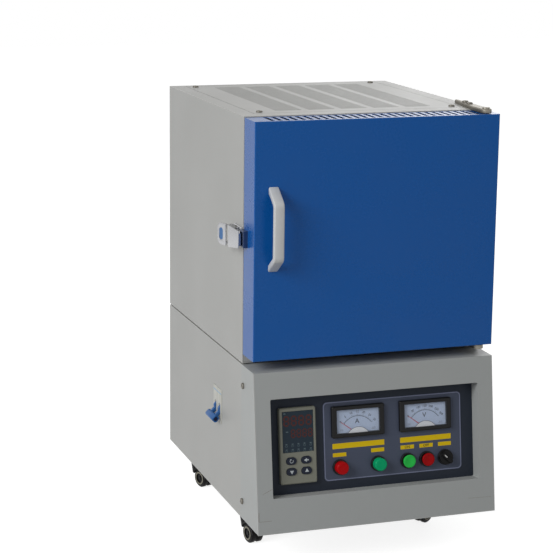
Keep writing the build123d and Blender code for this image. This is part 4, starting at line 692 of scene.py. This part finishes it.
def softened(piece, width, segments=2):
    """Round over the hard edges of a piece and shade it smooth."""
    sharp = radians(38)
    alone(piece)
    ease = piece.modifiers.new("ease", "BEVEL")
    ease.width = width
    ease.segments = segments
    ease.limit_method = "ANGLE"
    ease.angle_limit = sharp
    ease.use_clamp_overlap = True
    bpy.ops.object.modifier_apply(modifier="ease")
    bpy.ops.object.shade_smooth_by_angle(angle=sharp)
    return piece


def eased(node, name, width, made, body, slot):
    """A CAD node's shape with its hard edges eased, standing for the node."""
    finished(softened(merged(node, name), width), name, made, body, slot, node)


eased("breaker_case", "breaker_housing", 0.0006, moulded("breaker_white", shade(192, 192, 184), 0.42, 0.05),
      "furnace", "breaker_white")
eased("breaker_toggle", "breaker_levers", 0.0007, moulded("toggle_blue", shade(46, 96, 156), 0.42, 0.10),
      "breaker_toggle", "toggle_blue")

# A pale line is printed across the nose, and a dark disc on the tie bar's end paints the shade inside its hollow end.
clear = 0.00005               # the print's back stands this far off
low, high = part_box("breaker_case")
line = strip(high[1] - low[1] - 0.0012, 0.0011, 0.0003)
nose_top = max(vertex.co.z for vertex in frame["nodes"]["breaker_case"].data.vertices
               if vertex.co.x < low[0] + 0.0002)
nose = Matrix.Translation((low[0] - clear, (low[1] + high[1]) / 2, nose_top - 0.0055))
facing_left = Matrix(((0, 0, -1), (-1, 0, 0), (0, 1, 0))).to_4x4()
pale_blue = moulded("pale_blue_print", shade(120, 168, 205), 0.4)
finished(thickened(settle(line, nose @ facing_left), PRINT), "breaker_line", pale_blue, "furnace", "breaker_white")

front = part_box("breaker_toggle")[0][1]
bar_end = [vertex.co for vertex in frame["nodes"]["breaker_toggle"].data.vertices if vertex.co.y < front + 0.0003]
low_x, high_x = span(spot.x for spot in bar_end)
low_z, high_z = span(spot.z for spot in bar_end)
end_shade_disc = strip((high_x - low_x) * 0.5, (high_z - low_z) * 0.5, 0.0012)
spot = Matrix.Translation(((low_x + high_x) / 2, front - clear, (low_z + high_z) / 2))
end_shade_disc = settle(end_shade_disc, spot @ Matrix.Rotation(pi / 2, 4, "X"))
painted_hollow_shade = moulded("painted_hollow_shade", shade(16, 26, 58), 0.5)
finished(thickened(end_shade_disc, PRINT), "tie_bar_end", painted_hollow_shade, "breaker_toggle", "toggle_blue")

# ----------------------------------------------------------------- cooling fan and power controller
# An 80 mm fan blows out through the rear plate behind a wire guard. Next to it the mains cable's
# gland is left without its cable, and the power controller stands on the cabinet's floor.


def metal(name, colour, roughness, stretch=(1.0, 1.0, 1.0), scratch=300.0, tarnish=0.12, depth=0.000004, **values):
    """Bare or plated metal: faint tarnish, uneven gloss and fine drawn scratches along one way."""
    made, tree, shader = material(name, colour, Metallic=1.0, **values)
    tone = use(tree, clouds, Tone=(*colour, 1), Change=tarnish, Scale=45.0)
    spot = add(tree, "Mapping", add(tree, "TexCoord").outputs["Object"], Scale=stretch)
    lines = add(tree, "TexNoise", Vector=spot.outputs[0], Scale=scratch, Detail=6.0, Roughness=0.6)
    gloss = uneven(tree, lines.outputs[0], max(0.03, roughness - 0.06), roughness + 0.08)
    surfaced(tree, shader, tone.outputs["Colour"], gloss, lines.outputs[0], 0.25, depth)
    return made


bright_zinc = metal("zinc_steel", shade(188, 188, 186), 0.34, tarnish=0.2)
paint(bright_zinc, "fan_guard", "inner_casing")
paint(metal("bare_aluminium", shade(205, 206, 208), 0.32, stretch=(6.0, 0.2, 6.0)), "power_controller")

# ------------------------------------------------------------------------------------------ casters
# Four small twin-wheel casters of black nylon turn on steel kingpins in plates under the cabinet.
# Each wheel has a raised pale ring pressed into its outer face.

nylon = moulded("caster_black", shade(8, 8, 9), 0.4, 0.2, grain=700.0, Specular_IOR_Level=0.3)
paint(nylon, "caster_plates")
ring_plastic = moulded("caster_ring", shade(138, 134, 120), 0.45, 0.12)
ring_radius, ring_line, ring_rise = 0.0080, 0.0019, 0.00012
for joint in frame["joints"]:
    if not joint["name"].startswith("wheel_roll"):
        continue
    corner = joint["name"].removeprefix("wheel_roll_")
    paint(nylon, "caster_swivel_" + corner, "caster_wheels_" + corner)
    hub = Vector(joint["pos_m"])
    axle = Vector(joint["axis"])
    wheels = frame["nodes"]["caster_wheels_" + corner].data
    reach = max((vertex.co - hub).dot(axle) for vertex in wheels.vertices)
    rings = []
    for way in (1, -1):
        facing = (axle * way).to_track_quat("Z", "Y").to_matrix().to_4x4()
        rings.append(settle(arc(ring_radius, ring_line, 0.0, 2 * pi, 40),
                            Matrix.Translation(hub + axle * way * reach) @ facing))
    finished(thickened(joined(rings), ring_rise), "caster_rings_" + corner, ring_plastic,
             "caster_wheels_" + corner, "caster_black")

# ------------------------------------------------------------------------------------------- screws
# Every outside screw is a zinc-plated pan head with a cross recess, 8 mm across. They hold the
# console, the rear plates, the casters, the top cover, the hinges, the latch and the door's parts.

head_radius = 0.004
head_height = 0.0022
shank = 0.001
slot_length, slot_width, slot_height, slot_middle = 0.0046, 0.0009, 0.0030, 0.0025


def pan_head():
    """A pan-head screw: the head's underside on the origin, its shank one millimetre long, going down."""
    bpy.ops.object.select_all(action="DESELECT")
    bpy.ops.mesh.primitive_cylinder_add(vertices=32, radius=head_radius, depth=head_height)
    head = bpy.context.object
    edit(head)
    bpy.ops.transform.translate(value=(0, 0, head_height / 2))
    bpy.ops.mesh.select_mode(type="FACE")
    bpy.ops.mesh.select_all(action="DESELECT")
    edited()
    for face in head.data.polygons:
        face.select = face.normal.z > 0.9
    edit(head, choice=None)
    bpy.ops.mesh.bevel(offset=0.0015, segments=5, affect="EDGES", profile=0.55)
    bpy.ops.mesh.select_all(action="DESELECT")
    edited()
    for face in head.data.polygons:
        face.select = face.normal.z < -0.9
    edit(head, choice=None)
    bpy.ops.mesh.inset(thickness=0.0021)
    bpy.ops.mesh.extrude_region_move(TRANSFORM_OT_translate={"value": (0, 0, -shank)})
    edited()
    for turn in (0, pi / 2):
        bpy.ops.object.select_all(action="DESELECT")
        bpy.ops.mesh.primitive_cube_add(size=1.0)
        edit(bpy.context.object)
        bpy.ops.transform.resize(value=(slot_length, slot_width, slot_height))
        slot = edited()
        for vertex in slot.data.vertices:
            if vertex.co.z < 0:
                vertex.co.x *= 0.35
        settle(slot, at(0, 0, slot_middle, turn))
        alone(head)
        cut = head.modifiers.new("cross", "BOOLEAN")
        cut.operation = "DIFFERENCE"
        cut.solver = "EXACT"
        cut.object = slot
        bpy.ops.object.modifier_apply(modifier="cross")
        bpy.data.objects.remove(slot)
    alone(head)
    bpy.ops.object.shade_smooth_by_angle(angle=radians(40))
    return head


def driven(node, name, made, body, longest=0.1):
    """A cross-head screw in the place of each screw of a CAD node, its shank cut off at the longest."""
    edit(merged(node, "seats"))
    bpy.ops.mesh.separate(type="LOOSE")
    edited()
    seats = list(bpy.context.selected_objects)
    screws = []
    for index, seat in enumerate(seats):
        spots = [vertex.co.copy() for vertex in seat.data.vertices]
        low = Vector(min(spot[side] for spot in spots) for side in range(3))
        high = Vector(max(spot[side] for spot in spots) for side in range(3))
        middle = (low + high) / 2
        size = high - low
        # It points along the side that isn't the head's width, and its head is where it is widest.
        way = max(range(3), key=lambda side: abs(size[side] - 2 * head_radius))
        widest = max(spots, key=lambda spot: (spot - middle).length_squared - (spot[way] - middle[way]) ** 2)
        axis = Vector((0, 0, 0))
        axis[way] = 1 if widest[way] > middle[way] else -1
        crown = middle.copy()
        crown[way] = high[way] if axis[way] > 0 else low[way]
        screw = bpy.data.objects.new("screw", model.data.copy())
        bpy.context.collection.objects.link(screw)
        for vertex in screw.data.vertices:
            if vertex.co.z < -0.9 * shank:
                vertex.co.z = -min(longest, size[way] - head_height)
        upright = Matrix.Translation(crown - axis * head_height) @ axis.to_track_quat("Z", "Y").to_matrix().to_4x4()
        screws.append(settle(screw, upright @ at(0, 0, turn=radians(37.0 * index))))
        bpy.data.objects.remove(seat)
    finished(joined(screws), name, made, body, "zinc_steel", node)


model = pan_head()
screw_steel = metal("screw_steel", shade(112, 109, 102), 0.45, tarnish=0.35)
driven("cabinet_screws", "cabinet_cross_screws", screw_steel, "furnace")
driven("body_screws", "body_cross_screws", screw_steel, "furnace")
driven("door_screws", "door_cross_screws", screw_steel, "door", longest=0.0046)
bpy.data.objects.remove(model)

# ----------------------------------------------------------------------------------- heated chamber
# Vacuum-formed ceramic fibre boards make the chamber. Wire coils lie in the grooves of its sides,
# a ceramic plate lies on its floor, and a sheathed thermocouple comes in through the back.


def fibred(name, colour):
    """Felted ceramic fibre: soft, matt, with short fibres and shallow pits."""
    made, tree, shader = material(name, colour, Roughness=0.95, Specular_IOR_Level=0.2)
    tone = use(tree, clouds, Tone=(*colour, 1), Change=0.07, Scale=22.0)
    place = add(tree, "TexCoord").outputs["Object"]
    tangle = add(tree, "TexNoise", Vector=place, Scale=220.0, Detail=8.0, Distortion=2.5)
    surfaced(tree, shader, tone.outputs["Colour"], None, tangle.outputs[0], 0.5, 0.00025)
    return made


fibre = fibred("fibre_white", shade(226, 222, 210))
paint(fibre, "chamber_boards", "chamber_back_board", "door_plug")
paint(moulded("ceramic_cream", shade(206, 198, 178), 0.6, 0.1, grain=500.0), "hearth_plate", "thermocouple")

# Each side's coil runs back and forth four times, then leaves by two leads through the back board.
low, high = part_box("heating_elements")
wire_path = 0.0026            # from the solid's outside to the middle of its rod
bend_radius = 0.013
runs = 4
wire_radius, coil_radius, lead_radius = 0.00055, 0.00205, 0.0013
pitch = 0.0029
front_turn = low[1] + wire_path + bend_radius
back_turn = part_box("chamber_back_board")[0][1] - 0.0286
run_length = back_turn - front_turn
element_wire = metal("element_alloy", shade(112, 100, 90), 0.6, tarnish=0.4)
coils = []
for x in (low[0] + wire_path, high[0] - wire_path):
    bpy.ops.object.select_all(action="DESELECT")
    bpy.ops.mesh.primitive_plane_add(size=0.001)
    path = bpy.context.object
    path.location = (x, back_turn, low[2] + wire_path)
    settle(path, path.matrix_basis.copy())
    edit(path)
    bpy.ops.mesh.select_mode(type="VERT")
    bpy.ops.mesh.merge(type="CENTER")
    y, z, way = back_turn, low[2] + wire_path, -1
    for run in range(runs):
        bpy.ops.mesh.extrude_vertices_move(TRANSFORM_OT_translate={"value": (0, way * run_length, 0)})
        y += way * run_length
        if run < runs - 1:
            bpy.ops.mesh.spin(steps=12, angle=-way * pi, center=(x, y, z + bend_radius), axis=(1, 0, 0))
            z += 2 * bend_radius
            way = -way
    edited()
    bpy.ops.object.convert(target="CURVE")
    path = bpy.context.object

    bpy.ops.object.select_all(action="DESELECT")
    bpy.ops.mesh.primitive_circle_add(vertices=6, radius=wire_radius)
    coil = settle(bpy.context.object, Matrix.Translation((0, coil_radius, 0)))
    turns = int((runs * run_length + (runs - 1) * pi * bend_radius) / pitch)
    wind = coil.modifiers.new("wind", "SCREW")
    wind.axis = "X"
    wind.screw_offset = pitch
    wind.iterations = turns
    wind.steps = wind.render_steps = 9
    wind.use_merge_vertices = True
    bpy.ops.object.modifier_apply(modifier="wind")
    bend = coil.modifiers.new("bend", "CURVE")
    bend.object = path
    bend.deform_axis = "POS_X"
    bpy.ops.object.modifier_apply(modifier="bend")
    bpy.data.objects.remove(path)
    coils.append(coil)
    for z in (low[2] + wire_path, high[2] - wire_path):
        bpy.ops.object.select_all(action="DESELECT")
        bpy.ops.mesh.primitive_cylinder_add(vertices=12, radius=lead_radius, depth=high[1] - back_turn)
        edit(bpy.context.object)
        bpy.ops.mesh.bevel(offset=0.0003, segments=2)
        lead = edited()
        spot = Matrix.Translation((x, (high[1] + back_turn) / 2, z))
        coils.append(settle(lead, spot @ Matrix.Rotation(pi / 2, 4, "X")))
finished(joined(coils), "element_coils", element_wire, "furnace", "element_alloy", "heating_elements")

# ------------------------------------------------------------------------------------------- hinges
# Two flat steel arms carry the door's pins, the upper one screwed on the roof and the lower one on
# the front. They are dull nickel plated and their edges are rounded over.

eased("hinge_arms", "hinge_arm_pair", 0.0005, metal("hinge_nickel", shade(132, 128, 119), 0.5, tarnish=0.25),
      "furnace", "hinge_nickel")

# --------------------------------------------------------------------------------------------- door
# The door is a folded pan in glossy blue powder coat, vented along its top, with a brushed liner
# and a block of ceramic fibre that plugs the chamber. It hangs on the hinge pins by pivot blocks.

# Inside its folds and on the walls of its vent slots the pan is painted dark, a painted shade. The fold on the
# hinge's side is round and deeper.
low, high = map(Vector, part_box("door_shell"))
hollow = low + Vector((0.0012, 0.0012, 0.0012)), high - Vector((0.0055, 0.0012, 0.0005))
# The lighter edge tones below are rubbed wear together with a painted highlight.
blue, rubbed_and_lit_blue = (0.002, 0.092, 0.36), (0.05, 0.16, 0.42)
# The keeper's dark navy is the door's blue with painted shade.
keeper_shade_navy, rubbed_and_lit_navy = (0.010, 0.035, 0.11), (0.10, 0.14, 0.22)
paint(coat("door_blue", blue, rubbed_and_lit_blue, 0.10, 0.26, (low, high), edge=0.0016, grain=900.0, depth=0.000004,
           hollow=hollow, IOR=SOFT_GLOSS), "door_shell")
paint(metal("liner_steel", shade(190, 190, 190), 0.3, stretch=(0.15, 4.0, 8.0)), "door_liner")
paint(coat("keeper_in_painted_shade", keeper_shade_navy, rubbed_and_lit_navy, 0.0, 0.3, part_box("door_keeper"), edge=0.0006), "door_keeper")

# ------------------------------------------------------------------------------------------- handle
# A flat bow handle of cast alloy, satin with softly rounded edges, screwed on from behind the
# door's front sheet. Its side outline is drawn out to one plain bar, 13 mm across.

handle_width = 0.013
bar = merged("door_handle", "bow_handle")
left = min(face.center.x for face in bar.data.polygons)
edit(bar, choice="DESELECT")
bpy.ops.mesh.select_mode(type="FACE")
edited()
for face in bar.data.polygons:
    face.select = face.center.x > left + 0.00001
edit(bar, choice=None)
bpy.ops.mesh.delete(type="FACE")
bpy.ops.mesh.select_all(action="SELECT")
bpy.ops.mesh.extrude_region_move(TRANSFORM_OT_translate={"value": (handle_width, 0, 0)})
bpy.ops.mesh.select_all(action="SELECT")
bpy.ops.mesh.normals_make_consistent(inside=False)
bpy.ops.mesh.select_mode(type="VERT")
edited()
settle(bar, Matrix.Translation((middle_of("door_handle").x - left - handle_width / 2, 0, 0)))
satin_alloy = moulded("handle_satin", shade(206, 207, 207), 0.36, 0.04, depth=0.000006)
finished(softened(bar, 0.0016, segments=3), "bow_handle", satin_alloy, "door", "handle_satin", "door_handle")

# -------------------------------------------------------------------------------------------- latch
# A small draw latch on the body's left side: base plate with two ears, a lever with a thumb tail,
# and a claw whose lip drops into the keeper. All three are pressed steel, plated in satin chrome.

chrome = metal("latch_chrome", shade(176, 177, 180), 0.26, scratch=120.0, tarnish=0.04, depth=0.000001)
for node, name in (("latch_base", "latch_base_plate"), ("latch_lever", "latch_thumb_lever"),
                   ("latch_claw", "latch_hook")):
    body = "furnace" if node == "latch_base" else node
    eased(node, name, 0.0003, chrome, body, "latch_chrome")

# The thumb tail's oval dimple is painted blue, a painted reflection of the blue door in its dished floor. Its floor
# is the face of that size that looks out.
dimple_width = 0.008
floor_area = dimple_width ** 2 + pi * (dimple_width / 2) ** 2
pocket = merged("latch_lever", "pocket")
ground = min(pocket.data.polygons, key=lambda face: abs(face.area - floor_area) + (face.normal.x > -0.5))
spot, facing = ground.center.copy(), ground.normal.copy()
bpy.data.objects.remove(pocket)
upward = Vector((0, 0, 1))
place = Matrix((upward, facing.cross(upward), facing)).transposed().to_4x4()
place.translation = spot + facing * 0.00004
oval = settle(strip(0.0150, 0.0070, 0.0034), place)
painted_blue_reflection = metal("painted_blue_reflection", shade(74, 108, 152), 0.3)
finished(thickened(oval, PRINT), "thumb_dimple", painted_blue_reflection, "latch_lever", "latch_chrome")

# -------------------------------------------------------------------------- studio: floor and light
# A seamless white floor and a plain, even studio: a large soft lamp on the left, a weaker one
# behind on the right, and white all round, which gloss, chrome and glass pick up.


def seen_through(tree):
    """One where the camera sees a thing straight, in gloss or through glass, and nought elsewhere."""
    ray = add(tree, "LightPath").outputs
    seen = sums(tree, "MAXIMUM", ray["Is Camera Ray"], ray["Is Glossy Ray"])
    return sums(tree, "MAXIMUM", seen, ray["Is Transmission Ray"])


floor_white = 0.85
sky_light = 0.34              # strength on the furnace, while the sky itself looks white
bpy.ops.object.select_all(action="DESELECT")
bpy.ops.mesh.primitive_grid_add(x_subdivisions=8, y_subdivisions=8, size=14.0, location=(0, 0, 0))
floor = bpy.context.object
floor.name = "studio_floor"
pale, tree, shader = material("studio_floor", (0.5, 0.5, 0.5), Roughness=0.9, Specular_IOR_Level=0.0)
shader.inputs["Emission Color"].default_value = (1, 1, 1, 1)
tree.links.new(sums(tree, "MULTIPLY", seen_through(tree), floor_white), shader.inputs["Emission Strength"])
floor.data.materials.append(pale)

world = bpy.data.worlds.new("plain_studio")
bpy.context.scene.world = world
world.use_nodes = True
tree = world.node_tree
tree.nodes.clear()
strength = add(tree, "MapRange", seen_through(tree), 0.0, 1.0, sky_light, 1.0)
sky = add(tree, "Background", Color=(1, 1, 1, 1), Strength=strength.outputs[0])
end = add(tree, "OutputWorld")
tree.links.new(sky.outputs[0], end.inputs["Surface"])

low, high = map(Vector, cad_bounds)
centre = (low + high) / 2
for name, spot, size, power in (
    ("key_lamp", (-2.72, -1.55, 1.75), 1.8, 64.0),
    ("back_lamp", (1.6, 2.4, 1.6), 1.6, 13.0),
):
    bpy.ops.object.light_add(type="AREA", location=spot)
    lamp = bpy.context.object
    lamp.name = name
    lamp.data.shape = "DISK"
    lamp.data.size = size
    lamp.data.energy = power
    lamp.rotation_euler = (centre - Vector(spot)).to_track_quat("-Z", "Y").to_euler()

# ------------------------------------------------------------------------------------------- camera
# Long lens from the front left, a little above the furnace, held very slightly off level.

azimuth = radians(-18.78)
elevation = radians(12.37)
roll = radians(0.67)
backward = Vector((sin(azimuth) * cos(elevation), -cos(azimuth) * cos(elevation), sin(elevation)))
level = Vector((0, 0, 1)).cross(backward).normalized()
upright = backward.cross(level)
right = level * cos(roll) + upright * sin(roll)
up = upright * cos(roll) - level * sin(roll)
bpy.ops.object.camera_add()
camera = bpy.context.object
camera.name = "studio_camera"
camera.data.lens = 116.9
camera.data.sensor_width = 36.0
camera.data.clip_end = 50.0
camera_spot = Vector((-0.8059, -2.1996, 0.8423))
camera.matrix_world = Matrix.Translation(camera_spot) @ Matrix((right, up, backward)).transposed().to_4x4()
bpy.context.scene.camera = camera
bpy.context.scene.view_settings.view_transform = "Standard"
